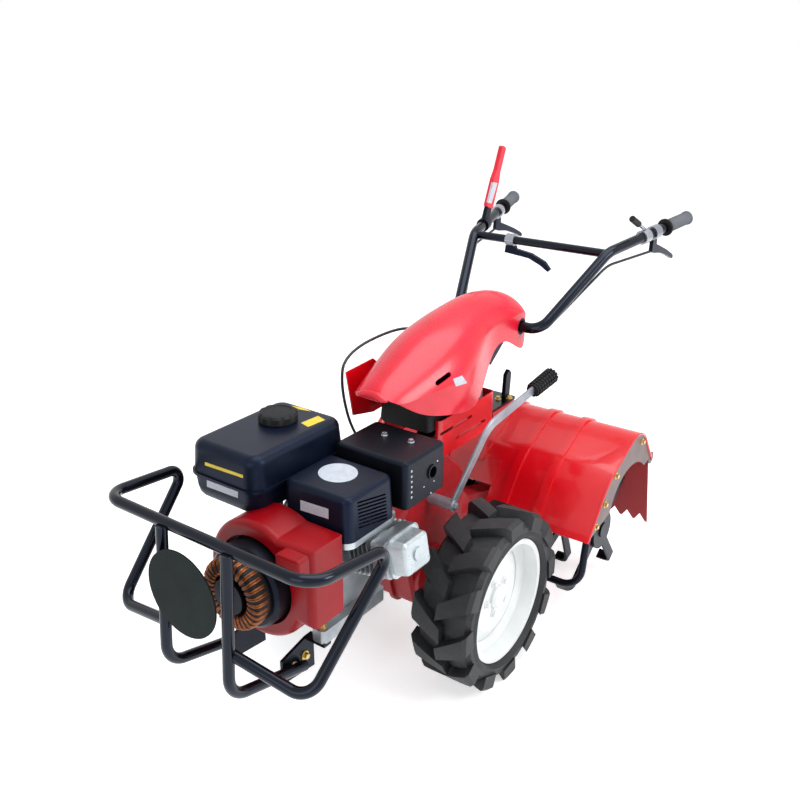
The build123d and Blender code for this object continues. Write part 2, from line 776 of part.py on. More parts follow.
with BuildPart() as cleaner_cover:
    with BuildSketch(Plane.XY.offset(CLEANER_SPLIT_Z)):
        with Locations(cleaner_middle):
            RectangleRounded(CLEANER_L, CLEANER_W, CLEANER_ROUND)
    extrude(amount=CLEANER_TOP_Z - CLEANER_SPLIT_Z, taper=3)
    fillet(cleaner_cover.faces().sort_by(Axis.Z)[-1].edges(), 14)
    offset(amount=-CLEANER_WALL, openings=cleaner_cover.faces().sort_by(Axis.Z)[0])
    with BuildSketch(Plane.XZ.offset(-CLEANER_LEFT_Y)):
        with Locations((cleaner_middle[0], LOUVRE_Z)):
            with GridLocations(0, LOUVRE_PITCH, 1, LOUVRE_COUNT):
                SlotOverall(LOUVRE_L, LOUVRE_H, rotation=LOUVRE_SLOPE)
    extrude(amount=LOUVRE_DEPTH, mode=Mode.SUBTRACT)
save(cleaner_cover, "air_cleaner_cover")

with BuildPart() as carburettor:
    with BuildSketch(Plane.XY.offset(CASE_TOP_Z)):
        with Locations((fore(CLEANER_BACK + 60), CASE_HALF_W - 70)):
            RectangleRounded(70, 60, 10)
    extrude(amount=CLEANER_BASE_Z - CASE_TOP_Z)
save(carburettor, "carburettor")

# Muffler box with its outlet on the left face
muffler_middle = (fore((MUFFLER_BACK + MUFFLER_FRONT) / 2), (MUFFLER_RIGHT_Y + MUFFLER_LEFT_Y) / 2)
with BuildPart() as muffler:
    with BuildSketch(Plane.XY.offset(MUFFLER_FLOOR_Z)):
        with Locations(muffler_middle):
            RectangleRounded(MUFFLER_FRONT - MUFFLER_BACK, MUFFLER_LEFT_Y - MUFFLER_RIGHT_Y, 14)
    extrude(amount=MUFFLER_TOP_Z - MUFFLER_FLOOR_Z)
    fillet(muffler.faces().sort_by(Axis.Z)[-1].edges(), 10)
    offset(amount=-MUFFLER_WALL, openings=muffler.faces().sort_by(Axis.Z)[0])
    with BuildSketch(Plane.XZ.offset(-MUFFLER_LEFT_Y - OUTLET_LIP)):
        with Locations((fore(MUFFLER_BACK + 60), MUFFLER_TOP_Z - 62)):
            Circle(OUTLET_R + OUTLET_WALL)
    extrude(amount=OUTLET_DEPTH)
    with BuildSketch(Plane.XZ.offset(-MUFFLER_LEFT_Y - OUTLET_LIP)):
        with Locations((fore(MUFFLER_BACK + 60), MUFFLER_TOP_Z - 62)):
            Circle(OUTLET_R)
    extrude(amount=OUTLET_DEPTH, mode=Mode.SUBTRACT)
    with BuildSketch(Plane.XZ.offset(-MUFFLER_LEFT_Y)):
        with Locations((fore(MUFFLER_FRONT - VENT_INSET), (MUFFLER_FLOOR_Z + MUFFLER_TOP_Z) / 2)):
            with GridLocations(0, VENT_PITCH, 1, VENT_COUNT):
                Circle(VENT_R)
    extrude(amount=2 * MUFFLER_WALL, mode=Mode.SUBTRACT)
save(muffler, "muffler")

# Bumper
side_run = [
    (BUMPER_AHEAD, 0, BUMPER_TOP_Z),
    (BUMPER_AHEAD, BUMPER_HALF_W, BUMPER_TOP_Z),
    (BUMPER_BACK, BUMPER_HALF_W + 12, BUMPER_BACK_Z),
    (BUMPER_AHEAD, BUMPER_HALF_W - 16, BUMPER_LOW_Z),
    (BUMPER_AHEAD + 22, UPRIGHT_Y, BUMPER_LOW_Z + 40),
]
side_bends = [60, 26, 46]
left_loop = bent_bar([at(p) for p in side_run], side_bends, BUMPER_TUBE_R)
right_loop = bent_bar([at(mirrored(p)) for p in side_run], side_bends, BUMPER_TUBE_R)
upright_run = [
    (BUMPER_AHEAD + 14, UPRIGHT_Y, BUMPER_TOP_Z),
    (UPRIGHT_FOOT_AHEAD, UPRIGHT_Y, UPRIGHT_FOOT_Z),
    (BRACKET_FRONT - 60, UPRIGHT_Y, UPRIGHT_FOOT_Z - 66),
]
with BuildPart() as bumper:
    add(left_loop)
    add(right_loop)
    for run in (upright_run, [mirrored(p) for p in upright_run]):
        add(bent_bar([at(p) for p in run], 62, BUMPER_TUBE_R))
save(bumper, "bumper")

for bracket_side, bracket_name in ((1, "left"), (-1, "right")):
    with BuildPart() as bracket:
        inner = UPRIGHT_Y - BUMPER_TUBE_R - SEAT_GAP
        with BuildSketch(Plane.XZ.offset(-bracket_side * (inner - BRACKET_T / 2))) as plate:
            with BuildLine():
                Polyline(
                    (fore(BRACKET_BACK), FOOT_Z),
                    (fore(FOOT_FRONT), FOOT_Z),
                    (fore(BRACKET_FRONT), FOOT_Z - 20),
                    (fore(BRACKET_FRONT), FOOT_Z - 84),
                    (fore(BRACKET_BACK), FOOT_Z - 96),
                    close=True,
                )
            make_face()
        extrude(amount=BRACKET_T / 2, both=True)
        with BuildSketch(Plane.XY.offset(FOOT_Z)):
            with Locations((fore((BRACKET_BACK + FOOT_FRONT) / 2), bracket_side * (inner - BRACKET_T))):
                Rectangle(
                    FOOT_FRONT - BRACKET_BACK,
                    FOOT_HALF_W - inner + BRACKET_T,
                    align=(Align.CENTER, Align.MIN if bracket_side > 0 else Align.MAX),
                )
        extrude(amount=-BRACKET_T)
    save(bracket, f"engine_bracket_{bracket_name}")

with BuildPart() as front_plate:
    with BuildSketch(Plane.YZ.offset(fore(PLATE_AHEAD))):
        with Locations((PLATE_Y, PLATE_Z)):
            Circle(PLATE_R)
    extrude(amount=PLATE_T)
save(front_plate, "front_plate")

def cover_section(station, half_w, low, shoulder, crown):
    """Arched section across the machine: flat below, straight sides, round top."""
    with BuildSketch(Plane.YZ.offset(fore(station))) as arch:
        with BuildLine():
            Polyline((-half_w, shoulder), (-half_w, low), (half_w, low), (half_w, shoulder))
            ThreePointArc((half_w, shoulder), (0, crown), (-half_w, shoulder))
        make_face()
    return arch.sketch


def cover_hollow(wall):
    """Room inside the column cover, a wall's thickness in from its sides and top and open below and at both ends."""
    ends = {COVER_SECTIONS[0][0]: 1, COVER_SECTIONS[-1][0]: -1}
    sections = [
        cover_section(station + ends.get(station, 0), half_w - wall, low - COVER_OPEN, shoulder, crown - wall)
        for station, half_w, low, shoulder, crown in COVER_SECTIONS
    ]
    with BuildPart() as hollow:
        loft(sections)
    return hollow.part


# Handle column with its clevis and the stay of its cover
pivot = (fore(-PIVOT_BEHIND), 0, PIVOT_Z)
COLUMN_BASE_Z = GEARBOX_TOP_Z + FLANGE_LIP
CHEEK_Y = COLUMN_W / 2 + CHEEK_T / 2 - 2
column_foot = (fore(-COLUMN_FOOT_BEHIND), 0, COLUMN_BASE_Z - 60)
column_way = Vector(*pivot) - Vector(*column_foot)
with BuildPart() as cover_stay:
    with BuildSketch(Plane.XY.offset(COVER_STAY_Z)):
        with Locations((fore(-COVER_STAY_BEHIND), 0)):
            Rectangle(COVER_STAY_W, 2 * COVER_SECTIONS[2][1])
    extrude(amount=-COVER_STAY_T)
    add(cover_hollow(COVER_WALL + SEAT_GAP), mode=Mode.INTERSECT)
    with BuildSketch(Plane.XY.offset(COVER_STAY_Z - COVER_STAY_T)):
        with Locations((fore(-COVER_STAY_BEHIND), 0)):
            Rectangle(COVER_STAY_W, COVER_STAY_POST_W)
    extrude(amount=COLUMN_BASE_Z - COVER_STAY_Z + 2 * COLUMN_D)
with BuildPart() as column:
    with BuildSketch(Plane(origin=column_foot, x_dir=(0, 1, 0), z_dir=column_way)):
        Rectangle(COLUMN_W, COLUMN_D)
    extrude(amount=column_way.length - CHEEK_R - 8)
    split(bisect_by=Plane.XY.offset(COLUMN_BASE_Z), keep=Keep.TOP)
    add(cover_stay.part)
    for cheek in (1, -1):
        with BuildSketch(Plane.XZ.offset(-cheek * CHEEK_Y)):
            with Locations((pivot[0], pivot[2])):
                Circle(CHEEK_R)
            with BuildLine():
                Polyline(
                    (pivot[0] + 20, pivot[2] + CHEEK_R - 8),
                    (pivot[0] + 120, pivot[2] - 50),
                    (pivot[0] + 90, pivot[2] - 105),
                    (pivot[0] - 20, pivot[2] - CHEEK_R + 8),
                    close=True,
                )
            make_face()
        extrude(amount=CHEEK_T / 2, both=True)
    with BuildSketch(Plane.XZ):
        with Locations((pivot[0], pivot[2])):
            Circle(HANDLE_TUBE_R + RUN_FIT)
    extrude(amount=CHEEK_Y + CHEEK_T, both=True, mode=Mode.SUBTRACT)
save(column, "handle_column")


# Column cover: a moulded cowl lofted through arched sections, open below
cover_shape = [cover_section(*section) for section in COVER_SECTIONS]
cover_room = cover_hollow(COVER_WALL)
with BuildPart() as cover_block:
    loft(cover_shape)
with BuildPart() as column_cover:
    add(cover_block.part)
    add(cover_room, mode=Mode.SUBTRACT)
    with BuildSketch(Plane.XZ):
        with Locations((pivot[0], pivot[2])):
            Circle(HANDLE_TUBE_R + HANDLE_ROOM)
    extrude(amount=COVER_SECTIONS[2][1], both=True, mode=Mode.SUBTRACT)
    with BuildSketch(Plane.XZ):
        with Locations((fore(COVER_SLOT_AT[0]), COVER_SLOT_AT[1])):
            SlotOverall(COVER_SLOT_L, COVER_SLOT_H, rotation=COVER_SLOT_SLOPE)
    extrude(amount=COVER_SECTIONS[2][1] + COVER_WALL, both=True, mode=Mode.SUBTRACT)
save(column_cover, "column_cover")

# Gear lever and its grip
lever_run = [at(p) for p in GEAR_LEVER_RUN]
lever_rod = bent_bar(lever_run, GEAR_LEVER_BEND, LEVER_ROD_R)
with BuildPart() as gear_lever:
    add(lever_rod)
    with BuildSketch(Plane.XZ.offset(-GEARBOX_HALF_W)):
        with Locations((lever_run[0][0], lever_run[0][2])):
            Circle(LEVER_BOSS_R)
    extrude(amount=GEARBOX_HALF_W - lever_run[0][1] - LEVER_BOSS_R + LEVER_ROD_R)
save(gear_lever, "gear_lever")

grip_way = Vector(*lever_run[2]) - Vector(*lever_run[1])
with BuildPart() as lever_grip:
    with BuildSketch(Plane(origin=lever_run[2], z_dir=grip_way)):
        Circle(LEVER_GRIP_R)
        Circle(LEVER_ROD_R + RUN_FIT, mode=Mode.SUBTRACT)
    extrude(amount=-LEVER_GRIP_L)
save(lever_grip, "gear_lever_grip")

# Column housing: a pressed box round the column's foot, open above and below, on a sill across the gearbox
HOUSING_H = HOUSING_TOP_Z - COLUMN_BASE_Z
housing_middle = (fore(-HOUSING_BACK / 2), 0)
with BuildPart() as column_housing:
    with BuildSketch(Plane.XY.offset(COLUMN_BASE_Z)):
        with Locations(housing_middle):
            RectangleRounded(HOUSING_BACK, 2 * HOUSING_HALF_W, HOUSING_ROUND)
            RectangleRounded(
                HOUSING_BACK - 2 * HOUSING_WALL,
                2 * (HOUSING_HALF_W - HOUSING_WALL),
                HOUSING_ROUND - HOUSING_WALL,
                mode=Mode.SUBTRACT,
            )
    extrude(amount=HOUSING_H)
    with BuildSketch(Plane.YZ.offset(fore(0))):
        with Locations((0, HOUSING_TOP_Z)):
            Rectangle(
                2 * (HOUSING_HALF_W - HOUSING_ROUND), HOUSING_H - HOUSING_SILL_H, align=(Align.CENTER, Align.MAX)
            )
    extrude(amount=-HOUSING_ROUND, mode=Mode.SUBTRACT)
    with BuildSketch(Plane.YZ.offset(fore(-HOUSING_BACK))):
        with Locations((0, HOUSING_TOP_Z)):
            Rectangle(2 * COLUMN_GAP_HALF_W, COLUMN_GAP_H, align=(Align.CENTER, Align.MAX))
    extrude(amount=HOUSING_ROUND, mode=Mode.SUBTRACT)
    with BuildSketch(Plane.XZ):
        with Locations(*[(fore(x), z) for x, z in HOUSING_GROOVES]):
            SlotOverall(GROOVE_L, GROOVE_H)
    extrude(amount=HOUSING_HALF_W, both=True, mode=Mode.SUBTRACT)
save(column_housing, "column_housing")

# Hitch plate flanged to the back of the housing, with the lever that engages the tiller
with BuildPart() as hitch_plate:
    with BuildSketch(Plane.XZ):
        Polygon(
            (fore(-HOUSING_BACK), HITCH_Z),
            (fore(-HITCH_BACK), HITCH_Z),
            (fore(-HITCH_BACK), HITCH_Z - HITCH_T),
            (fore(-HOUSING_BACK - HITCH_T), HITCH_Z - HITCH_T),
            (fore(-HOUSING_BACK - HITCH_T), HITCH_Z - HITCH_FLANGE_H),
            (fore(-HOUSING_BACK), HITCH_Z - HITCH_FLANGE_H),
            align=None,
        )
    extrude(amount=HITCH_HALF_W, both=True)
    fillet(hitch_plate.edges().filter_by(Axis.Z).sort_by(Axis.X)[:2], HITCH_T)
save(hitch_plate, "hitch_plate")

with BuildPart() as tiller_lever:
    with BuildSketch(Plane.XZ.offset(-TILLER_LEVER_Y)):
        with Locations((fore(-TILLER_LEVER_BACK), HITCH_Z)):
            Polygon(
                (0, 0),
                (TILLER_LEVER_W, 0),
                (TILLER_LEVER_W - TILLER_LEVER_T / 2, TILLER_LEVER_H - TILLER_LEVER_T),
                (TILLER_LEVER_T / 2, TILLER_LEVER_H),
                (-TILLER_LEVER_T / 2, TILLER_LEVER_H - TILLER_LEVER_T),
                align=None,
            )
    extrude(amount=TILLER_LEVER_T / 2, both=True)
save(tiller_lever, "tiller_lever")

# Handlebar
HANDLE_PATH = [
    pivot,
    (pivot[0], HANDLE_ELBOW_Y, pivot[2]),
    at(HANDLE_BEND),
    at(HANDLE_END),
]
handle_arms = [bent_bar(run, HANDLE_BENDS, HANDLE_TUBE_R) for run in (HANDLE_PATH, [mirrored(p) for p in HANDLE_PATH])]
with BuildPart() as handlebar:
    for arm in handle_arms:
        add(arm)
save(handlebar, "handlebar")

# Cross bar welded between the two arms
with BuildPart() as cross_bar:
    with BuildSketch(Plane.XZ.offset(-CROSS_BAR_HALF)):
        with Locations((fore(CROSS_BAR_AT[0]), CROSS_BAR_AT[1])):
            Circle(CROSS_BAR_R)
    extrude(amount=2 * CROSS_BAR_HALF)
    add(handlebar.part, mode=Mode.SUBTRACT)
save(cross_bar, "cross_bar")

grip_axis = Vector(*HANDLE_PATH[3]) - Vector(*HANDLE_PATH[2])
for grip_side, grip_name in ((1, "left"), (-1, "right")):
    way = Vector(grip_axis.X, grip_side * grip_axis.Y, grip_axis.Z)
    tip = Vector(HANDLE_PATH[3][0], grip_side * HANDLE_PATH[3][1], HANDLE_PATH[3][2])
    with BuildPart() as grip:
        with BuildSketch(Plane(origin=tip + way.normalized() * 6, z_dir=way)):
            Circle(GRIP_R)
        extrude(amount=-GRIP_LENGTH)
        with BuildSketch(Plane(origin=tip - way.normalized() * (GRIP_LENGTH - 12), z_dir=way)):
            Circle(GRIP_FLANGE_R)
        extrude(amount=-6)
        with BuildSketch(Plane(origin=tip, z_dir=way)):
            Circle(HANDLE_TUBE_R + RUN_FIT)
        extrude(amount=-GRIP_LENGTH, mode=Mode.SUBTRACT)
    save(grip, f"grip_{grip_name}")



def arm_plane(side, from_end):
    """Plane across a handlebar arm so far in from its end, facing the end."""
    way = Vector(grip_axis.X, side * grip_axis.Y, grip_axis.Z).normalized()
    tip = Vector(HANDLE_PATH[3][0], side * HANDLE_PATH[3][1], HANDLE_PATH[3][2])
    return Plane(origin=tip - way * from_end, x_dir=(0, 1, 0), z_dir=way)


# Clamps of the hand levers and the throttle
COLLAR_R = HANDLE_TUBE_R + COLLAR_WALL
with BuildPart() as lever_clamps:
    for clamp_side, clamp_in in ((1, HAND_COLLAR_IN), (-1, HAND_COLLAR_IN), (1, THROTTLE_COLLAR_IN)):
        with BuildSketch(arm_plane(clamp_side, clamp_in)):
            Circle(COLLAR_R)
            Circle(HANDLE_TUBE_R + SEAT_GAP, mode=Mode.SUBTRACT)
        extrude(amount=COLLAR_W / 2, both=True)
    with BuildSketch(Plane.XZ.offset(-BAR_LEVER_Y)):
        with Locations((fore(CROSS_BAR_AT[0]), CROSS_BAR_AT[1])):
            Circle(CROSS_BAR_R + COLLAR_WALL)
            Circle(CROSS_BAR_R + SEAT_GAP, mode=Mode.SUBTRACT)
    extrude(amount=COLLAR_W / 2, both=True)
save(lever_clamps, "lever_clamps")

# Clutch lever on a bracket clamped round the right arm
clutch_arm = arm_plane(-1, CLUTCH_COLLAR_IN)
clutch_plane = Plane(
    origin=clutch_arm.origin,
    x_dir=(-sin(radians(CLUTCH_LEAN)), 0, cos(radians(CLUTCH_LEAN))),
    z_dir=(0, 1, 0),
)
with BuildPart() as clutch_bracket:
    with BuildSketch(clutch_arm):
        Circle(COLLAR_R)
    extrude(amount=COLLAR_W / 2, both=True)
    with BuildSketch(clutch_plane):
        Rectangle(CLUTCH_RISE, 2 * CLUTCH_NECK_HALF_W, align=(Align.MIN, Align.CENTER))
    extrude(amount=CLUTCH_T / 2, both=True)
    with BuildSketch(clutch_arm):
        Circle(HANDLE_TUBE_R + SEAT_GAP)
    extrude(amount=COLLAR_W, both=True, mode=Mode.SUBTRACT)
save(clutch_bracket, "clutch_bracket")

with BuildPart() as clutch_lever:
    with BuildSketch(clutch_plane) as clutch_side:
        with Locations((CLUTCH_RISE, 0)):
            Polygon(
                (0, -CLUTCH_HALF_W),
                (0, CLUTCH_HALF_W),
                (CLUTCH_L * 0.45, CLUTCH_HALF_W),
                (CLUTCH_L * 0.6, CLUTCH_NECK_HALF_W),
                (CLUTCH_L, CLUTCH_NECK_HALF_W),
                (CLUTCH_L, -CLUTCH_NECK_HALF_W),
                (CLUTCH_L * 0.6, -CLUTCH_NECK_HALF_W),
                (CLUTCH_L * 0.45, -CLUTCH_HALF_W),
                align=None,
            )
        fillet(clutch_side.vertices(), CLUTCH_NECK_HALF_W / 2)
    extrude(amount=CLUTCH_T / 2, both=True)
save(clutch_lever, "clutch_lever")

# Hand levers: a blade under each grip and one below the cross bar, outlined from the middle of their clamps
BLADE = (
    (14, 0), (-14, 0), (-16, -40), (-60, -56), (-112, -76), (-160, -98), (-174, -108), (-168, -116), (-120, -96),
    (-60, -76), (0, -66), (18, -58)
)
BAR_BLADE = ((-15, 0), (15, 0), (20, -26), (75, -34), (125, -54), (145, -76), (138, -84), (108, -66), (68, -50), (-20, -42))
blade_root = arm_plane(1, HAND_COLLAR_IN).origin
with BuildPart() as hand_levers:
    for blade_side in (1, -1):
        with BuildSketch(Plane.XZ.offset(-blade_side * blade_root.Y)):
            Polygon(*[(blade_root.X + x, blade_root.Z + z) for x, z in BLADE], align=None)
        extrude(amount=HAND_LEVER_T / 2, both=True)
        with BuildSketch(arm_plane(blade_side, HAND_COLLAR_IN)):
            Circle(COLLAR_R + SEAT_GAP)
        extrude(amount=2 * COLLAR_W, both=True, mode=Mode.SUBTRACT)
    with BuildSketch(Plane.YZ.offset(fore(CROSS_BAR_AT[0]))):
        Polygon(*[(BAR_LEVER_Y + y, CROSS_BAR_AT[1] + z) for y, z in BAR_BLADE], align=None)
    extrude(amount=HAND_LEVER_T / 2, both=True)
    with BuildSketch(Plane.XZ.offset(-BAR_LEVER_Y)):
        with Locations((fore(CROSS_BAR_AT[0]), CROSS_BAR_AT[1])):
            Circle(CROSS_BAR_R + COLLAR_WALL + SEAT_GAP)
    extrude(amount=2 * COLLAR_W, both=True, mode=Mode.SUBTRACT)
save(hand_levers, "hand_levers")

# Throttle lever and its knob
throttle_arm = arm_plane(1, THROTTLE_COLLAR_IN)
throttle_root = throttle_arm.origin + Vector(0, 0, COLLAR_R)
throttle_way = Vector(*at(THROTTLE_TIP)) - throttle_root
with BuildPart() as throttle_lever:
    with BuildSketch(Plane(origin=throttle_root, z_dir=throttle_way)):
        Circle(THROTTLE_R)
    extrude(amount=throttle_way.length - KNOB_L)
    with BuildSketch(throttle_arm):
        Circle(COLLAR_R + SEAT_GAP)
    extrude(amount=2 * COLLAR_W, both=True, mode=Mode.SUBTRACT)
save(throttle_lever, "throttle_lever")

with BuildPart() as throttle_knob:
    with BuildSketch(Plane(origin=at(THROTTLE_TIP), z_dir=throttle_way)):
        Circle(KNOB_R)
    extrude(amount=-KNOB_L)
    fillet(throttle_knob.edges().filter_by(GeomType.CIRCLE), KNOB_ROUND)
save(throttle_knob, "throttle_knob")

# Control cables: one under each arm from its hand lever, and one from the cover to the gearbox
CABLE_DROP = 2 * (HANDLE_TUBE_R + CABLE_R)
arm_cable = [
    (blade_root.X + BLADE[-1][0] - CABLE_R, blade_root.Y, blade_root.Z + BLADE[-2][1] + 2 * CABLE_R),
    (HANDLE_PATH[2][0], HANDLE_PATH[2][1], HANDLE_PATH[2][2] - CABLE_DROP),
    (HANDLE_PATH[1][0] - CABLE_DROP, HANDLE_PATH[1][1] + CABLE_R, HANDLE_PATH[1][2]),
]
arm_cables = [bent_bar(run, CABLE_BEND, CABLE_R) for run in (arm_cable, [mirrored(p) for p in arm_cable])]
with BuildPart() as handle_cables:
    for cable in arm_cables:
        add(cable)
    add(hand_levers.part, mode=Mode.SUBTRACT)
save(handle_cables, "handle_cables")

gearbox_cable_bar = bent_bar([at(p) for p in GEARBOX_CABLE_RUN], CABLE_SHORT_BEND, CABLE_R)
with BuildPart() as gearbox_cable:
    add(gearbox_cable_bar)
    add(cover_block.part, mode=Mode.SUBTRACT)
    add(gearbox.part, mode=Mode.SUBTRACT)
save(gearbox_cable, "gearbox_cable")

# Tiller hood: a bent sheet with swaged ribs round it, notched for the drive leg
HOOD_PROFILE = [(fore(x), z) for x, z in (HOOD_EDGE, HOOD_KNEE, HOOD_CREST, HOOD_HEEL)]
HOOD_ROUNDS = [KNEE_ROUND, CREST_ROUND]
rotor_centre = (fore(-ROTOR_BEHIND), TINE_R + TINE_CLEAR)


def hood_band(lift):
    """Side view of the hood's sheet, lifted off its inner face by a distance."""
    with BuildSketch(Plane.XZ) as band:
        with BuildLine():
            FilletPolyline(*HOOD_PROFILE, radius=HOOD_ROUNDS)
            offset(amount=HOOD_WALL + lift, side=Side.RIGHT)
        make_face()
    return band.sketch


with BuildPart() as hood:
    with BuildSketch(Plane.XZ):
        add(hood_band(0))
    extrude(amount=HOOD_HALF_W, both=True)
    for station in RIB_STATIONS:
        with BuildSketch(Plane.XZ.offset(-station)):
            add(hood_band(RIB_H))
        extrude(amount=RIB_W / 2, both=True)
    with BuildSketch(Plane.YZ.offset(fore(HOOD_EDGE[0]) + 40)):
        with Locations((0, HOOD_EDGE[1])):
            Rectangle(HOOD_NOTCH_W, 2 * HOOD_NOTCH_H)
    extrude(amount=-(HOOD_EDGE[0] - HOOD_KNEE[0] + 60), mode=Mode.SUBTRACT)
save(hood, "tiller_hood")

flap_axis = (HOOD_PROFILE[-1][0] - FLAP_PIN_R, HOOD_PROFILE[-1][1] - FLAP_PIN_R)

# End plates: crescents closing the hood's ends, arched over the rotor
for plate_side, plate_name in ((1, "left"), (-1, "right")):
    with BuildPart() as end_plate:
        with BuildSketch(Plane.XZ.offset(-plate_side * (HOOD_HALF_W - PLATE_INSET))):
            with BuildLine():
                FilletPolyline(*HOOD_PROFILE, radius=HOOD_ROUNDS)
                Line(HOOD_PROFILE[-1], HOOD_PROFILE[0])
            make_face()
            with Locations((fore(ARCH_CENTRE[0]), ARCH_CENTRE[1])):
                Circle(ARCH_R, mode=Mode.SUBTRACT)
            with Locations(flap_axis):
                Circle(FLAP_EAR_R)
                Circle(FLAP_PIN_R + RUN_FIT, mode=Mode.SUBTRACT)
            add(hood_band(0), mode=Mode.SUBTRACT)
        extrude(amount=plate_side * END_PLATE_T)
    save(end_plate, f"end_plate_{plate_name}")

# Drive leg from the gearbox coupling to the rotor, with a post that carries the hood
hood_space = hood_band(HOOD_CREST[1] - HOOD_KNEE[1])
COUPLING_END = fore(-GEARBOX_REAR - COUPLING_REACH)
with BuildPart() as drive_leg:
    with BuildSketch(Plane.XZ) as leg_side:
        with BuildLine():
            Polyline(
                (COUPLING_END - 10, COUPLING_Z + LEG_DEEP),
                (rotor_centre[0] + 30, rotor_centre[1] + LEG_R),
                (rotor_centre[0] + 10, rotor_centre[1] - LEG_R + 6),
                (COUPLING_END - 10, COUPLING_Z - LEG_DEEP),
                close=True,
            )
        make_face()
        with Locations(rotor_centre):
            Circle(LEG_R)
    extrude(amount=LEG_HALF_W, both=True)
    with BuildSketch(Plane.XZ):
        Polygon(
            (fore(-HOOD_POST_BACK), rotor_centre[1]),
            (fore(-HOOD_POST_FRONT), rotor_centre[1]),
            (fore(-HOOD_POST_FRONT), HOOD_CREST[1]),
            (fore(-HOOD_POST_BACK), HOOD_CREST[1]),
            align=None,
        )
        add(hood_space, mode=Mode.SUBTRACT)
    extrude(amount=HOOD_POST_HALF_W, both=True)
    with BuildSketch(Plane.YZ.offset(COUPLING_END)):
        with Locations((0, COUPLING_Z)):
            Circle(COUPLING_R)
    extrude(amount=-34)
    with BuildSketch(Plane.XZ):
        with Locations(rotor_centre):
            Circle(ROTOR_SHAFT_R + RUN_FIT)
    extrude(amount=LEG_HALF_W + 1, both=True, mode=Mode.SUBTRACT)
save(drive_leg, "drive_leg")


# Rotor: a shaft with flanges, each with bent blades set a step round from the last
def tine_plane(station, angle):
    """Plane through the rotor axis at an angle: local x along the axis, local y outwards."""
    out = (sin(radians(angle)), 0, cos(radians(angle)))
    side = (-out[2], 0, out[0])
    return Plane(
        origin=(rotor_centre[0], station, rotor_centre[1]), x_dir=(0, 1, 0), z_dir=side
    )


last_flange = HOOD_HALF_W - ROTOR_END_GAP
ROTOR_FLANGES = (ROTOR_FIRST_FLANGE, (ROTOR_FIRST_FLANGE + last_flange) / 2, last_flange)
tine_step = 360 / TINES_PER_FLANGE / (2 * len(ROTOR_FLANGES))
flange_stations = [s * y for s in (-1, 1) for y in ROTOR_FLANGES]
with BuildPart() as rotor:
    with BuildSketch(Plane.XZ):
        with Locations(rotor_centre):
            Circle(ROTOR_SHAFT_R)
    extrude(amount=ROTOR_FLANGES[-1] + ROTOR_FLANGE_T, both=True)
    for index, station in enumerate(flange_stations):
        with BuildSketch(Plane.XZ.offset(-station)):
            with Locations(rotor_centre):
                Circle(ROTOR_FLANGE_R)
        extrude(amount=ROTOR_FLANGE_T / 2, both=True)
        for blade in range(TINES_PER_FLANGE):
            angle = 180 + (index - 2.5) * tine_step + blade * 360 / TINES_PER_FLANGE
            hand = -1 if station > 0 else 1
            if blade % 2 and abs(station) < ROTOR_FLANGES[-1]:
                hand = -hand
            with BuildSketch(tine_plane(station, angle)):
                with BuildLine():
                    foot = (hand * (ROTOR_FLANGE_T + TINE_T) / 2, ROTOR_FLANGE_R - 34)
                    bend = (foot[0], TINE_R - TINE_T / 2)
                    FilletPolyline(foot, bend, (foot[0] + hand * TINE_LEG, bend[1]), radius=TINE_BEND)
                    offset(amount=TINE_T / 2, side=Side.BOTH)
                make_face()
            extrude(amount=TINE_W / 2, both=True)
save(rotor, "rotor")

# Rear flap on its hinge pin along the hood's heel
with BuildPart() as flap:
    with BuildSketch(Plane.XZ):
        with Locations(flap_axis):
            Circle(FLAP_PIN_R)
    extrude(amount=HOOD_HALF_W, both=True)
    lean = (sin(radians(FLAP_LEAN)), cos(radians(FLAP_LEAN)))
    with BuildSketch(Plane.XZ):
        with BuildLine():
            Polyline(
                flap_axis,
                (flap_axis[0] - FLAP_DROP * lean[0], flap_axis[1] - FLAP_DROP * lean[1]),
            )
            offset(amount=FLAP_T / 2, side=Side.BOTH)
        make_face()
    extrude(amount=HOOD_HALF_W - FLAP_SIDE_GAP, both=True)
    flap_face = Plane(
        origin=(flap_axis[0] - FLAP_DROP * lean[0], 0, flap_axis[1] - FLAP_DROP * lean[1]),
        x_dir=(0, 1, 0),
        z_dir=(lean[1], 0, -lean[0]),
    )
    with BuildSketch(flap_face):
        with GridLocations(TOOTH_PITCH, 0, FLAP_TEETH, 1):
            Polygon((-TOOTH_NOTCH_W / 2, -FLAP_T), (TOOTH_NOTCH_W / 2, -FLAP_T), (0, TOOTH_H), align=None)
    extrude(amount=2 * FLAP_T, both=True, mode=Mode.SUBTRACT)
save(flap, "rear_flap")

# Guard bar across the tiller's front, from end plate to end plate
GUARD_Y = HOOD_HALF_W - PLATE_INSET - END_PLATE_T - GUARD_R - SEAT_GAP
GUARD_RUN = [at((x, GUARD_Y, z)) for x, z in (GUARD_TOP, GUARD_LOW)]
guard_right = [mirrored(p) for p in reversed(GUARD_RUN)]
with BuildPart() as guard_bar:
    add(bent_bar(GUARD_RUN + guard_right, GUARD_BEND, GUARD_R))
save(guard_bar, "guard_bar")
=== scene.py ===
import json
from math import atan2, copysign, cos, pi, radians, sin, tan

import bmesh
import bpy
from mathutils import Matrix, Vector


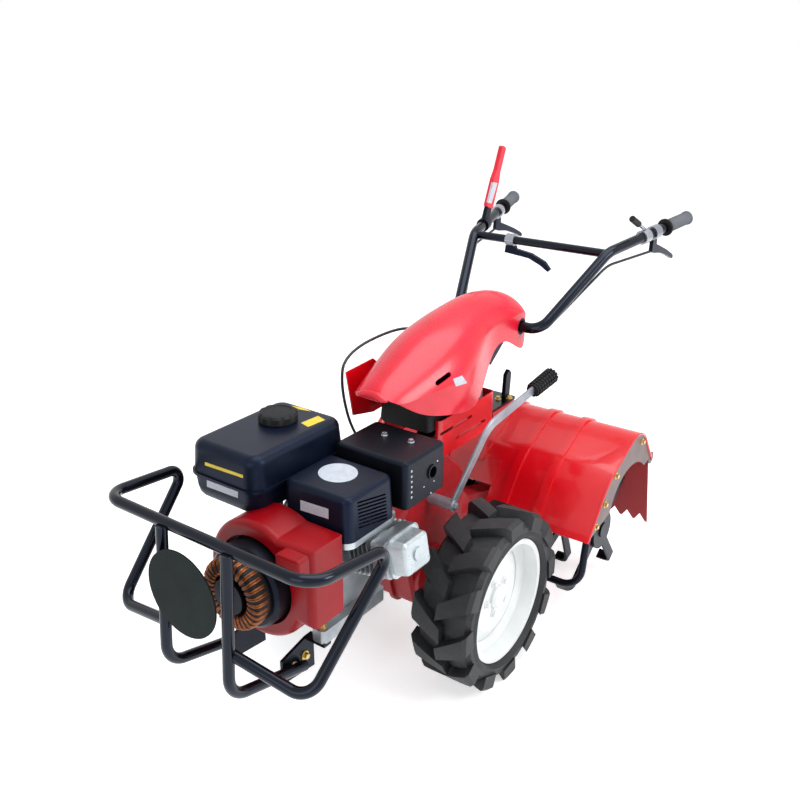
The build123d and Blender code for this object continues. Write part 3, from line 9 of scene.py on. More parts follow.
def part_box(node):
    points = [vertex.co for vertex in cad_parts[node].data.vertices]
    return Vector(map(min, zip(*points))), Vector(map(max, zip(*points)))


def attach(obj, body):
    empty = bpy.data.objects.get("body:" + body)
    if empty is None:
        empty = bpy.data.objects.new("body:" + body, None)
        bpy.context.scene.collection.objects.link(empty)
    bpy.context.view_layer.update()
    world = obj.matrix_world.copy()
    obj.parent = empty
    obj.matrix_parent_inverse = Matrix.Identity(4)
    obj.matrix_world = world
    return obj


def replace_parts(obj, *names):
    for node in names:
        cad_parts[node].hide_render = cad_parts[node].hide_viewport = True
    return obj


# Power tiller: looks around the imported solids. Metres, +X forward, +Y to the left, +Z up.
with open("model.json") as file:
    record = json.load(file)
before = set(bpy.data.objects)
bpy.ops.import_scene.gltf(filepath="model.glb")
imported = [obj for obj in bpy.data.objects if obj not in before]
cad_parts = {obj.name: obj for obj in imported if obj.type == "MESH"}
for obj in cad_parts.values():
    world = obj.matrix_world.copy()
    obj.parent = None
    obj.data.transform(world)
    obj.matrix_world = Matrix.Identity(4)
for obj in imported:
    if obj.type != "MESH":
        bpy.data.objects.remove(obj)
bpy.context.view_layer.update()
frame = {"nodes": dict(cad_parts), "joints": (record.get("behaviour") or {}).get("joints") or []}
joints = {joint["name"]: joint for joint in frame["joints"]}
AXLE = Vector(joints["wheel_left_spin"]["pos_m"])
AXLE_X = AXLE.x
UP = Vector((0, 0, 1))
LEFT = Vector((0, 1, 0))


def at(ahead, left, up):
    """Point given as metres ahead of the wheel axle, to the left and up from the floor."""
    return Vector((AXLE_X + ahead, left, up))


# The photograph's view: 926 pixels of focal length on an 800 pixel frame
FOCAL_PIXELS = 926
IMAGE_PIXELS = 800
SENSOR_MM = 36
VIEW_FROM = at(1.8855, 1.35, 1.7137)
VIEW_AZIMUTH = radians(36.24)
VIEW_ELEVATION = radians(22.358)
TOWARDS = Vector((
    -cos(VIEW_ELEVATION) * cos(VIEW_AZIMUTH),
    -cos(VIEW_ELEVATION) * sin(VIEW_AZIMUTH),
    -sin(VIEW_ELEVATION),
))
ACROSS = TOWARDS.cross(UP).normalized()
RISING = ACROSS.cross(TOWARDS)
camera = bpy.data.cameras.new("camera")
camera.sensor_width = SENSOR_MM
camera.lens = SENSOR_MM * FOCAL_PIXELS / IMAGE_PIXELS
camera_object = bpy.data.objects.new("camera", camera)
bpy.context.scene.collection.objects.link(camera_object)
camera_object.location = VIEW_FROM
camera_object.rotation_euler = TOWARDS.to_track_quat("-Z", "Y").to_euler()
bpy.context.scene.camera = camera_object
bpy.context.scene.view_settings.view_transform = "Standard"


def seen_on(node_name, x, y):
    """Point and outward direction of a node's surface at a pixel of the photograph's frame."""
    middle = IMAGE_PIXELS / 2
    way = TOWARDS + ACROSS * (x - middle) / FOCAL_PIXELS + RISING * (middle - y) / FOCAL_PIXELS
    hit, place, normal, _ = frame["nodes"][node_name].ray_cast(VIEW_FROM, way.normalized())
    if not hit:
        raise ValueError(f"{node_name} is not seen at {x}, {y}")
    return place, normal if normal.dot(way) < 0 else -normal


# Materials

def srgb(red, green, blue):
    """Linear colour of a colour as it is seen, each part from 0 to 255."""
    parts = [value / 255 for value in (red, green, blue)]
    return [p / 12.92 if p <= 0.04045 else ((p + 0.055) / 1.055) ** 2.4 for p in parts] + [1]


class Shader:
    """A principled material with short names for the nodes that it needs."""

    def __init__(self, name):
        self.material = bpy.data.materials.new(name)
        self.material.use_nodes = True
        self.tree = self.material.node_tree
        self.surface = self.tree.nodes["Principled BSDF"]
        self.where = self.add("ShaderNodeTexCoord").outputs["Object"]

    def add(self, kind, **settings):
        node = self.tree.nodes.new(kind)
        for key, value in settings.items():
            setattr(node, key, value)
        return node

    def link(self, output, socket):
        self.tree.links.new(output, socket)

    def noise(self, scale, detail=4, rough=0.55):
        node = self.add("ShaderNodeTexNoise")
        node.inputs["Scale"].default_value = scale
        node.inputs["Detail"].default_value = detail
        node.inputs["Roughness"].default_value = rough
        self.link(self.where, node.inputs["Vector"])
        return node.outputs["Fac"]

    def spread(self, value, low, high, start=0.3, end=0.7):
        node = self.add("ShaderNodeMapRange")
        self.link(value, node.inputs["Value"])
        node.inputs["From Min"].default_value = start
        node.inputs["From Max"].default_value = end
        node.inputs["To Min"].default_value = low
        node.inputs["To Max"].default_value = high
        return node.outputs["Result"]

    def colours(self, value, *stops):
        node = self.add("ShaderNodeValToRGB")
        ramp = node.color_ramp
        while len(ramp.elements) < len(stops):
            ramp.elements.new(1)
        for element, (place, colour) in zip(ramp.elements, stops):
            element.position = place
            element.color = colour
        self.link(value, node.inputs["Fac"])
        return node.outputs["Color"]

    def mix(self, share, first, second):
        node = self.add("ShaderNodeMix", data_type="RGBA")
        self.link(share, node.inputs["Factor"])
        for socket, colour in (("A", first), ("B", second)):
            target = [i for i in node.inputs if i.name == socket and i.type == "RGBA"][0]
            if isinstance(colour, list):
                target.default_value = colour
            else:
                self.link(colour, target)
        return [o for o in node.outputs if o.type == "RGBA"][0]

    def bump(self, height, strength, distance):
        node = self.add("ShaderNodeBump")
        node.inputs["Strength"].default_value = strength
        node.inputs["Distance"].default_value = distance
        self.link(height, node.inputs["Height"])
        self.link(node.outputs["Normal"], self.surface.inputs["Normal"])

    def set(self, **values):
        for key, value in values.items():
            self.surface.inputs[key.replace("_", " ")].default_value = value


def finish(name, dark, light, rough, patch=14, grain=420, bump=0.06, distance=0.0004, **values):
    """Paint, plastic or metal: broad colour drift, fine grain in the gloss and a shallow bump."""
    made = Shader(name)
    drift = made.noise(patch, 5)
    made.link(made.colours(drift, (0.32, dark), (0.68, light)), made.surface.inputs["Base Color"])
    fine = made.noise(grain, 3)
    made.link(made.spread(fine, rough[0], rough[1]), made.surface.inputs["Roughness"])
    made.bump(fine, bump, distance)
    made.set(**values)
    return made.material


RED_PAINT = finish("red_paint", srgb(214, 6, 22), srgb(222, 9, 26), (0.16, 0.26), patch=6, bump=0.02,
                   Coat_Weight=0.35)
# Fan shroud and control box: the red paint darkened as painted shade, not a paint of their own.
RED_PAINTED_SHADE = finish("red_painted_shade", srgb(126, 1, 11), srgb(158, 3, 16), (0.3, 0.4), patch=5, bump=0.02,
                  Specular_IOR_Level=0.25)
RED_MOULDED = finish("red_moulded", srgb(214, 10, 38), srgb(232, 18, 52), (0.24, 0.36), grain=700, bump=0.04,
                     Coat_Weight=0.15)
RED_CAST = finish("red_cast", srgb(150, 8, 18), srgb(182, 12, 26), (0.34, 0.5), grain=260, bump=0.25,
                  distance=0.0008)
# Rear flap: the red paint darkened as painted shade.
RED_SHADE = finish("red_flap_painted_shade", srgb(156, 8, 17), srgb(168, 10, 20), (0.3, 0.44), patch=6, bump=0.04)
# Blue tint on the reflections of the black finishes: a painted reflection of the sky.
PAINTED_SKY_SHEEN = {"Specular_Tint": (0.5, 0.64, 1.0, 1.0), "Specular_IOR_Level": 0.24}
BLACK_GLOSS = finish("black_gloss", srgb(5, 6, 9), srgb(10, 11, 17), (0.14, 0.26), bump=0.03,
                     Coat_Weight=0.22, **PAINTED_SKY_SHEEN)
BLACK_SATIN = finish("black_satin", srgb(8, 9, 12), srgb(16, 17, 22), (0.32, 0.46), grain=300, bump=0.12,
                     **PAINTED_SKY_SHEEN)
# Black moulded plastic whose base colour is tinted blue as a painted reflection of the sky.
BLACK_MOULDED_PAINTED_SKY = finish("black_moulded_painted_sky", srgb(9, 13, 25), srgb(15, 21, 38), (0.28, 0.4), grain=900, bump=0.16,
                       distance=0.0003, **PAINTED_SKY_SHEEN)
BLACK_MATTE = finish("black_matte", srgb(9, 9, 11), srgb(18, 19, 22), (0.5, 0.7), grain=500, bump=0.3,
                     Specular_IOR_Level=0.3)
CABLE_BLACK = finish("cable_black", srgb(16, 16, 18), srgb(28, 28, 31), (0.4, 0.55), patch=80, grain=900,
                     bump=0.1)
PLATE_DARK = finish("plate_dark", srgb(17, 25, 25), srgb(24, 33, 33), (0.5, 0.65), bump=0.04,
                    Specular_IOR_Level=0.1)
ALLOY = finish("alloy", srgb(138, 142, 147), srgb(172, 176, 180), (0.32, 0.48), grain=340, bump=0.3,
               distance=0.0006, Metallic=0.85)
ALLOY_BRIGHT = finish("alloy_bright", srgb(168, 176, 180), srgb(196, 203, 206), (0.26, 0.4), grain=160,
                      bump=0.05, Metallic=0.7)
STEEL = finish("bright_steel", srgb(150, 154, 162), srgb(184, 188, 195), (0.16, 0.3), grain=500, bump=0.05,
               Metallic=0.9)
LEVER_PLATE = finish("lever_plate", srgb(138, 144, 153), srgb(170, 176, 184), (0.3, 0.44), grain=300,
                     bump=0.08, Metallic=0.45)
ZINC = finish("yellow_zinc", srgb(196, 164, 92), srgb(222, 198, 132), (0.26, 0.4), patch=60, bump=0.06,
              Metallic=0.9)
WHITE_PAINT = finish("white_paint", srgb(226, 228, 227), srgb(238, 239, 238), (0.34, 0.46), patch=9,
                     bump=0.04)
GREY_PAINT = finish("grey_paint", srgb(96, 78, 77), srgb(118, 98, 95), (0.4, 0.56), grain=300, bump=0.1)
GRIP_GREY = finish("grip_grey", srgb(88, 91, 97), srgb(106, 109, 114), (0.55, 0.7), grain=800, bump=0.25)
COPPER = finish("copper_wire", srgb(92, 46, 22), srgb(168, 96, 48), (0.3, 0.45), patch=90, grain=900,
                bump=0.05, Metallic=0.75)
LABEL_WHITE = finish("label_white", srgb(190, 196, 206), srgb(206, 211, 219), (0.4, 0.5), patch=60, bump=0.02)
LABEL_YELLOW = finish("label_yellow", srgb(228, 196, 40), srgb(240, 212, 66), (0.4, 0.5), patch=60, bump=0.02)


def tyre_material():
    """Black rubber, greyer where it is dusty, with a fine moulded skin."""
    made = Shader("tyre_rubber")
    dust = made.noise(26, 6, 0.62)
    clean = made.colours(made.noise(7, 4), (0.3, srgb(13, 14, 17)), (0.7, srgb(26, 27, 31)))
    dusty = made.mix(made.spread(dust, 0, 0.3, 0.48, 0.78), clean, srgb(62, 62, 64))
    made.link(dusty, made.surface.inputs["Base Color"])
    skin = made.noise(520, 4)
    made.link(made.spread(skin, 0.5, 0.72), made.surface.inputs["Roughness"])
    made.bump(skin, 0.3, 0.0006)
    return made.material


TYRE = tyre_material()

NODE_FINISH = {
    "tyre_left": TYRE, "tyre_right": TYRE,
    "wheel_disc_left": WHITE_PAINT, "wheel_disc_right": WHITE_PAINT,
    "wheel_hub_left": WHITE_PAINT, "wheel_hub_right": WHITE_PAINT,
    "axle_tube_left": RED_CAST, "axle_tube_right": RED_CAST, "gearbox": RED_CAST, "drive_leg": RED_CAST,
    "crankcase": ALLOY, "cylinder": ALLOY, "rocker_cover": ALLOY_BRIGHT, "air_cleaner_base": ALLOY_BRIGHT,
    "fan_shroud": RED_PAINTED_SHADE, "control_box": RED_PAINTED_SHADE, "generator": BLACK_SATIN, "winding_ring": BLACK_MATTE,
    "fuel_tank": BLACK_MOULDED_PAINTED_SKY, "fuel_cap": BLACK_MATTE, "air_cleaner_cover": BLACK_MOULDED_PAINTED_SKY,
    "carburettor": BLACK_SATIN, "muffler": BLACK_SATIN,
    "bumper": BLACK_GLOSS, "engine_bracket_left": BLACK_SATIN, "engine_bracket_right": BLACK_SATIN,
    "front_plate": PLATE_DARK, "handle_column": BLACK_SATIN, "column_cover": RED_MOULDED,
    "gear_lever": STEEL, "gear_lever_grip": BLACK_MATTE, "handlebar": BLACK_GLOSS, "cross_bar": BLACK_GLOSS,
    "grip_left": GRIP_GREY, "grip_right": GRIP_GREY, "tiller_hood": RED_PAINT,
    "end_plate_left": GREY_PAINT, "end_plate_right": GREY_PAINT, "rotor": BLACK_SATIN,
    "rear_flap": RED_SHADE,
    "guard_bar": BLACK_SATIN, "column_housing": RED_PAINT, "hitch_plate": BLACK_GLOSS,
    "tiller_lever": BLACK_SATIN, "lever_clamps": STEEL, "clutch_bracket": BLACK_SATIN,
    "clutch_lever": RED_MOULDED, "hand_levers": BLACK_MOULDED_PAINTED_SKY, "throttle_lever": STEEL,
    "throttle_knob": BLACK_MATTE, "handle_cables": CABLE_BLACK, "gearbox_cable": CABLE_BLACK,
}
for node_name, node in frame["nodes"].items():
    node.data.materials.clear()
    node.data.materials.append(NODE_FINISH[node_name])


# Pieces

def piece(name, shape, material, body, smooth=30):
    """A finished mesh as a piece that rides on a body."""
    mesh = bpy.data.meshes.new(name)
    bmesh.ops.recalc_face_normals(shape, faces=shape.faces)
    shape.to_mesh(mesh)
    shape.free()
    made = bpy.data.objects.new(name, mesh)
    bpy.context.scene.collection.objects.link(made)
    mesh.materials.append(material)
    mesh.shade_smooth()
    mesh.set_sharp_from_angle(angle=radians(smooth))
    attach(made, body)
    return made


# Control cable from under the cover, round the right side and back into the gearbox
CABLE_D = 0.008
CABLE_ROUTE = [at(x, y, z) for x, y, z in (
    (-0.174, -0.115, 0.894), (-0.160, -0.150, 0.900), (0.090, -0.150, 0.890), (0.122, -0.140, 0.800),
    (0.090, -0.120, 0.640), (0.040, -0.060, 0.540),
)]
cable_curve = bpy.data.curves.new("gearbox_cable_cord", "CURVE")
cable_curve.dimensions = "3D"
cable_curve.bevel_depth = CABLE_D / 2
cable_curve.bevel_resolution = 4
cable_curve.resolution_u = 16
cable_curve.use_fill_caps = True
cable_line = cable_curve.splines.new("NURBS")
cable_line.points.add(len(CABLE_ROUTE) - 1)
for control, place in zip(cable_line.points, CABLE_ROUTE):
    control.co = (*place, 1)
cable_line.order_u = 3
cable_line.use_endpoint_u = True
cable = bpy.data.objects.new("gearbox_cable_cord", cable_curve)
bpy.context.scene.collection.objects.link(cable)
cable_curve.materials.append(CABLE_BLACK)
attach(cable, "chassis")
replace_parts(cable, "gearbox_cable")


def facing(direction):
    """Turn that takes +Z to a direction."""
    return Vector(direction).to_track_quat("Z", "Y").to_matrix().to_4x4()


def round_points(radius, sides, height=0.0):
    """Points round a circle about +Z."""
    turns = [2 * pi * k / sides for k in range(sides)]
    return [Vector((radius * cos(turn), radius * sin(turn), height)) for turn in turns]


def loft(shape, rings, closed=False):
    """Skin through rings of points: capped at both ends, or joined from the last ring to the first."""
    made = [[shape.verts.new(point) for point in ring] for ring in rings]
    count = len(made[0])
    pairs = list(zip(made, made[1:]))
    if closed:
        end, start = made[-1], made[0]
        shift = min(range(count), key=lambda k: (start[k].co - end[0].co).length)
        pairs.append((end, start[shift:] + start[:shift]))
    else:
        shape.faces.new(made[0][::-1])
        shape.faces.new(made[-1])
    for low, high in pairs:
        for k in range(count):
            shape.faces.new((low[k], low[(k + 1) % count], high[(k + 1) % count], high[k]))


def ring_stack(shape, centre, direction, profile, sides=24):
    """Closed turned form: rings of (radius, height) along a direction, capped at both ends."""
    place = Matrix.Translation(centre) @ facing(direction)
    loft(shape, [[place @ p for p in round_points(radius, sides, height)] for radius, height in profile])


# Bolt heads, across the flats
MUFFLER_HEX = 0.011
SMALL_HEX = 0.012
LARGE_HEX = 0.014
LEVER_HEX = 0.016


def add_bolt(shape, centre, direction, size):
    """Hexagon bolt head on a washer: size is across the flats."""
    base = Vector(centre)
    way = Vector(direction).normalized()
    thick = size * 0.16
    ring_stack(shape, base, way, [(size * 0.85, 0), (size * 0.85, thick * 0.8), (size * 0.8, thick)], 28)
    corner = size / 2 / cos(pi / 6)
    head = [(corner, 0), (corner, size * 0.5), (corner * 0.84, size * 0.6)]
    ring_stack(shape, base + way * thick, way, head, 6)


def bolts(name, body, places, size=SMALL_HEX, material=ZINC):
    """A group of bolts on one body: each place is a point and the way its head faces."""
    shape = bmesh.new()
    for centre, direction in places:
        add_bolt(shape, centre, direction, size)
    return piece(name, shape, material, body)


def tube(shape, points, radius, sides=12, closed=False):
    """Round bar through points: flat ends, or a loop without ends."""
    path = [Vector(p) for p in points]
    last = len(path) - 1
    rings = []
    for index, point in enumerate(path):
        before = path[index - 1] if index or closed else point
        after = path[(index + 1) % len(path)] if index < last or closed else point
        place = Matrix.Translation(point) @ facing(after - before)
        rings.append([place @ p for p in round_points(radius, sides)])
    loft(shape, rings, closed)


def rounded(low_x, high_x, low_y, high_y, radius, z, steps=8):
    """Points round a rectangle with round corners at a height."""
    points = []
    corners = ((high_x, high_y), (low_x, high_y), (low_x, low_y), (high_x, low_y))
    for quarter, (x, y) in enumerate(corners):
        centre_x = x - radius if x == high_x else x + radius
        centre_y = y - radius if y == high_y else y + radius
        for k in range(steps + 1):
            turn = pi / 2 * (quarter + k / steps)
            points.append(Vector((centre_x + radius * cos(turn), centre_y + radius * sin(turn), z)))
    return points


def stepped_box(low, high, corner_r, steps):
    """Box with round corners whose plan steps in by (inset, height) from the bounds low and high."""
    shape = bmesh.new()
    loft(shape, [
        rounded(low.x + inset, high.x - inset, low.y + inset, high.y - inset, corner_r, z)
        for inset, z in steps
    ])
    return shape


def rounded_path(points, radius, steps=10):
    """Straight runs with round bends of a radius between them."""
    path = [points[0]]
    for before, corner, after in zip(points, points[1:], points[2:]):
        back = (before - corner).normalized()
        on = (after - corner).normalized()
        half = back.angle(on) / 2
        reach = radius / tan(half)
        centre = corner + (back + on).normalized() * radius / sin(half)
        start = (corner + back * reach - centre).normalized()
        end = (corner + on * reach - centre).normalized()
        path += [centre + start.slerp(end, k / steps) * radius for k in range(steps + 1)]
    return path + [points[-1]]


# Generator winding: turns of copper wire round the ring, in bundles
ring_low, ring_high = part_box("winding_ring")
WINDING_COILS = 30
TURNS_A_COIL = 2
WIRE_R = 0.0021
TURN_STEPS = 24
TURN_INNER_R = 0.050
COIL_GAP_TURNS = 1.6
SECTION_POWER = 0.55


def winding_turn(angle, centre, inner, outer, back, front):
    """Closed loop of points round the ring's section at an angle about the crank."""
    middle_r = (inner + outer) / 2
    half_r = (outer - inner) / 2
    middle_x = (back + front) / 2
    half_x = (front - back) / 2
    loop = []
    for step in range(TURN_STEPS):
        t = 2 * pi * step / TURN_STEPS
        radius = middle_r + half_r * copysign(abs(cos(t)) ** SECTION_POWER, cos(t))
        x = middle_x + half_x * copysign(abs(sin(t)) ** SECTION_POWER, sin(t))
        loop.append(Vector((x, centre.y + radius * cos(angle), centre.z + radius * sin(angle))))
    return loop


winding = bmesh.new()
ring_centre = (ring_low + ring_high) / 2
ring_outer = (ring_high.y - ring_low.y) / 2
for coil in range(WINDING_COILS):
    for turn in range(TURNS_A_COIL):
        around = 2 * pi * (coil + (turn + 0.5) / (TURNS_A_COIL + COIL_GAP_TURNS)) / WINDING_COILS
        loop = winding_turn(around, ring_centre, TURN_INNER_R, ring_outer, ring_low.x, ring_high.x)
        tube(winding, loop, WIRE_R, 6, closed=True)
piece("winding_turns", winding, COPPER, "chassis", 60)

# Labels and stripes, all blank, where the photograph shows them
LABEL_T = 0.0005
LABEL_SHARES = (1, 0.8, 0.6, 0.4, 0.2)


def sticker(name, node_name, outline, material, body="chassis", edge=6):
    """Thin label on a node, its outline given in pixels of the photograph's frame."""
    points = []
    for (x0, y0), (x1, y1) in zip(outline, outline[1:] + outline[:1]):
        points += [(x0 + (x1 - x0) * k / edge, y0 + (y1 - y0) * k / edge) for k in range(edge)]
    middle = (sum(x for x, _ in points) / len(points), sum(y for _, y in points) / len(points))
    shape = bmesh.new()

    def corner(spot):
        place, normal = seen_on(node_name, *spot)
        return shape.verts.new(place + normal * LABEL_T), shape.verts.new(place - normal * LABEL_T)

    rings = []
    for share in LABEL_SHARES:
        spots = [[m + (value - m) * share for m, value in zip(middle, point)] for point in points]
        rings.append([corner(spot) for spot in spots])
    count = len(points)
    for outer, inner in zip(rings, rings[1:]):
        for k in range(count):
            near, far = k, (k + 1) % count
            shape.faces.new((outer[near][0], outer[far][0], inner[far][0], inner[near][0]))
            shape.faces.new((outer[far][1], outer[near][1], inner[near][1], inner[far][1]))
    rim, core = rings[0], rings[-1]
    centre = corner(middle)
    for k in range(count):
        near, far = k, (k + 1) % count
        shape.faces.new((core[near][0], core[far][0], centre[0]))
        shape.faces.new((core[far][1], core[near][1], centre[1]))
        shape.faces.new((rim[near][0], rim[near][1], rim[far][1], rim[far][0]))
    return piece(name, shape, material, body)


def oval(x, y, half_x, half_y, count=48):
    """Pixels round an oval."""
    turns = [2 * pi * k / count for k in range(count)]
    return [(x + half_x * cos(turn), y + half_y * sin(turn)) for turn in turns]


sticker("tank_stripe", "fuel_tank", [(205, 462), (243, 475), (243, 478), (205, 465.2)], LABEL_YELLOW)
sticker("tank_label", "fuel_tank", [(207, 480), (238, 491.5), (238, 498), (207, 486.5)], LABEL_WHITE)
sticker("tank_top_label_far", "fuel_tank", [(291, 405.5), (303, 408), (311, 411.5), (299, 409.5)],
        LABEL_YELLOW)
sticker("tank_top_label_near", "fuel_tank", [(301, 423), (318, 416), (325, 420), (308, 427)], LABEL_YELLOW)
sticker("cleaner_top_label", "air_cleaner_cover", oval(338, 473, 20, 9.5), LABEL_WHITE, edge=1)
sticker("cleaner_front_label", "air_cleaner_cover", [(300.5, 500), (328.5, 509), (328.5, 519), (300.5, 510)],
        LABEL_WHITE)
sticker("cover_label", "column_cover", [(453, 379), (462, 375.5), (467, 383), (456, 386.5)], LABEL_WHITE)
sticker("clutch_lever_label", "clutch_lever", [(491.5, 182), (497.5, 183), (491.5, 203.5), (486.5, 202.5)],
        LABEL_WHITE, "handle")

# Bolts and rivets
MUFFLER_BOLT_PIXELS = ((384.5, 435), (411, 442))
HITCH_BOLT_PIXELS = ((498, 399), (509, 398))
bolts("muffler_bolts", "chassis", [seen_on("muffler", *spot) for spot in MUFFLER_BOLT_PIXELS],
      MUFFLER_HEX, STEEL)
bolts("hitch_bolts", "chassis", [seen_on("hitch_plate", *spot) for spot in HITCH_BOLT_PIXELS])
SIDES = (1, -1)
BRACKET_OUT = 0.0864
BRACKET_SPOTS = ((0.548, 0.300), (0.588, 0.293))
bolts("bracket_bolts", "chassis", [
    (at(ahead, side * BRACKET_OUT, up), LEFT * side) for side in SIDES for ahead, up in BRACKET_SPOTS
], LARGE_HEX)
FOOT_AHEAD = (0.522, 0.325)
FOOT_OUT = 0.121
FOOT_TOP = 0.382
bolts("foot_bolts", "chassis", [
    (at(ahead, side * FOOT_OUT, FOOT_TOP), UP) for side in SIDES for ahead in FOOT_AHEAD
], LARGE_HEX)
WHEEL_BOLTS = 5
WHEEL_BOLT_R = 0.05
WHEEL_FACE = 0.2942
for side, wheel_body in zip(SIDES, ("wheel_left", "wheel_right")):
    spots = []
    for number in range(WHEEL_BOLTS):
        turn = 2 * pi * number / WHEEL_BOLTS
        ahead, up = WHEEL_BOLT_R * cos(turn), WHEEL_BOLT_R * sin(turn)
        spots.append((at(ahead, side * WHEEL_FACE, AXLE.z + up), LEFT * side))
    bolts(f"{wheel_body}_bolts", wheel_body, spots, LARGE_HEX, WHITE_PAINT)
END_PLATE_FACE = 0.4172
END_PLATE_SPOTS = ((-0.655, 0.505), (-0.47, 0.462), (-0.405, 0.395), (-0.352, 0.345))
for side, plate_name in zip(SIDES, ("left", "right")):
    bolts(f"end_plate_bolts_{plate_name}", "chassis", [
        (at(ahead, side * END_PLATE_FACE, up), LEFT * side) for ahead, up in END_PLATE_SPOTS
    ])
RIVET_COLUMN = at(0.276, 0.2048, 0.682)
RIVET_COUNT = 6
RIVET_PITCH = 0.014
RIVET_SIDES = 12
RIVET_PROFILE = ((0.0036, 0), (0.003, 0.0012), (0.0012, 0.0018))
SMALL_RIVET_PROFILE = ((0.0026, 0), (0.002, 0.0009), (0.0008, 0.0013))
SMALL_RIVET_PIXELS = ((437.5, 461), (434, 481), (431, 493), (424, 487))
rivets = bmesh.new()
for number in range(RIVET_COUNT):
    place = RIVET_COLUMN + UP * (number - (RIVET_COUNT - 1) / 2) * RIVET_PITCH
    ring_stack(rivets, place, LEFT, RIVET_PROFILE, RIVET_SIDES)
for spot in SMALL_RIVET_PIXELS:
    place, normal = seen_on("muffler", *spot)
    ring_stack(rivets, place, normal, SMALL_RIVET_PROFILE, RIVET_SIDES)
piece("muffler_rivets", rivets, STEEL, "chassis")

# Fuel cap: a broad lobed cap in place of the plain one
cap_low, cap_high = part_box("fuel_cap")
cap_centre = (cap_low + cap_high) / 2
CAP_LOBES = 10
CAP_STEPS = 120
LOBE_DEPTH = 0.0035
# Rings of the cap: radius, height above its foot and share of the lobes' depth
CAP_PROFILE = (
    (0.047, 0.0, 0.0), (0.050, 0.003, 0.4), (0.050, 0.019, 1.0), (0.046, 0.0245, 0.9), (0.038, 0.026, 0.3),
    (0.034, 0.0235, 0.0), (0.012, 0.025, 0.0),
)
cap_rings = []
for radius, height, lobe in CAP_PROFILE:
    ring = []
    for k in range(CAP_STEPS):
        turn = 2 * pi * k / CAP_STEPS
        swing = radius - lobe * LOBE_DEPTH * (0.5 - 0.5 * cos(CAP_LOBES * turn)) ** 3
        x, y = cap_centre.x + swing * cos(turn), cap_centre.y + swing * sin(turn)
        ring.append((x, y, cap_low.z + height))
    cap_rings.append(ring)
cap = bmesh.new()
loft(cap, cap_rings)
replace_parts(piece("fuel_cap_lobed", cap, BLACK_MATTE, "chassis"), "fuel_cap")

# Tank: the lower shell's rounded belly under the seam
tank_low, tank_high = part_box("fuel_tank")
BELLY_CORNER_R = 0.040
BELLY_STEPS = ((0.009, 0.668), (0.0098, 0.664), (0.0115, 0.652), (0.016, 0.644), (0.026, 0.640))
belly = stepped_box(tank_low, tank_high, BELLY_CORNER_R, BELLY_STEPS)
piece("tank_belly", belly, BLACK_MOULDED_PAINTED_SKY, "chassis")

# Gear lever: a flat bar with one bend on its boss, and the blocks of its grip
LEVER_FOOT = at(0.009, 0.150, 0.490)
LEVER_KNEE = at(-0.092, 0.198, 0.702)
LEVER_END = at(-0.443, 0.198, 0.740)
LEVER_BEND_R = 0.06
LEVER_HALF_W = 0.0135
LEVER_HALF_T = 0.0045
BOSS_START = 0.078
BOSS_END = 0.155
BOSS_PROFILE = ((0.016, 0), (0.016, 0.079), (0.0145, 0.081))


def flat_bar(shape, path, face, half_w, half_t):
    """Bar of flat section with eased edges along a path, its broad side turned to a direction."""
    ease = half_t * 0.5
    rings = []
    for index, point in enumerate(path):
        along = (path[min(index + 1, len(path) - 1)] - path[max(index - 1, 0)]).normalized()
        wide = along.cross(face).normalized()
        thick = wide.cross(along).normalized()
        corner = ((half_w, half_t - ease), (half_w - ease, half_t))
        upper = corner + tuple((-w, t) for w, t in corner[::-1])
        section = upper + tuple((-w, -t) for w, t in upper)
        rings.append([point + wide * w + thick * t for w, t in section])
    loft(shape, rings)


lever = bmesh.new()
lever_path = rounded_path([LEVER_FOOT, LEVER_KNEE, LEVER_END], LEVER_BEND_R)
flat_bar(lever, lever_path, LEFT, LEVER_HALF_W, LEVER_HALF_T)
boss_place = Vector((LEVER_FOOT.x, BOSS_START, LEVER_FOOT.z))
ring_stack(lever, boss_place, LEFT, BOSS_PROFILE, 32)
add_bolt(lever, Vector((LEVER_FOOT.x, BOSS_END, LEVER_FOOT.z)), LEFT, LEVER_HEX)
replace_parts(piece("gear_lever_bar", lever, LEVER_PLATE, "chassis"), "gear_lever")

grip = bmesh.new()
grip_way = (LEVER_END - LEVER_KNEE).normalized()
grip_place = Matrix.Translation(LEVER_END) @ facing(grip_way)
GRIP_ROWS = 8
GRIP_FILES = 12
GRIP_PITCH = 0.0138
GRIP_SKIN = 0.019
GRIP_START = 0.006
GRIP_FLARE = 0.002
GRIP_SUNK = 0.002
GRIP_TIP_PROFILE = ((0.0185, -0.001), (0.0185, 0.001), (0.015, 0.003), (0.006, 0.004))
for row in range(GRIP_ROWS):
    low = -GRIP_START - row * GRIP_PITCH
    top = GRIP_SKIN + GRIP_FLARE * (1 - row / GRIP_ROWS)
    # Rings of a block: distance from the grip's middle line, half the length and half the width
    levels = (
        (GRIP_SKIN - GRIP_SUNK, 0.0055, 0.0042),
        (top + 0.0022, 0.0052, 0.0040),
        (top + 0.0034, 0.0038, 0.0026),
    )
    for file in range(GRIP_FILES):
        place = grip_place @ Matrix.Rotation(2 * pi * file / GRIP_FILES, 4, "Z")
        block = []
        for out, half_l, half_w in levels:
            corners = ((half_w, half_l), (-half_w, half_l), (-half_w, -half_l), (half_w, -half_l))
            block.append([place @ Vector((out, across, low + along)) for across, along in corners])
        loft(grip, block)
ring_stack(grip, LEVER_END, grip_way, GRIP_TIP_PROFILE, 32)
piece("gear_lever_grip_blocks", grip, BLACK_MATTE, "chassis")

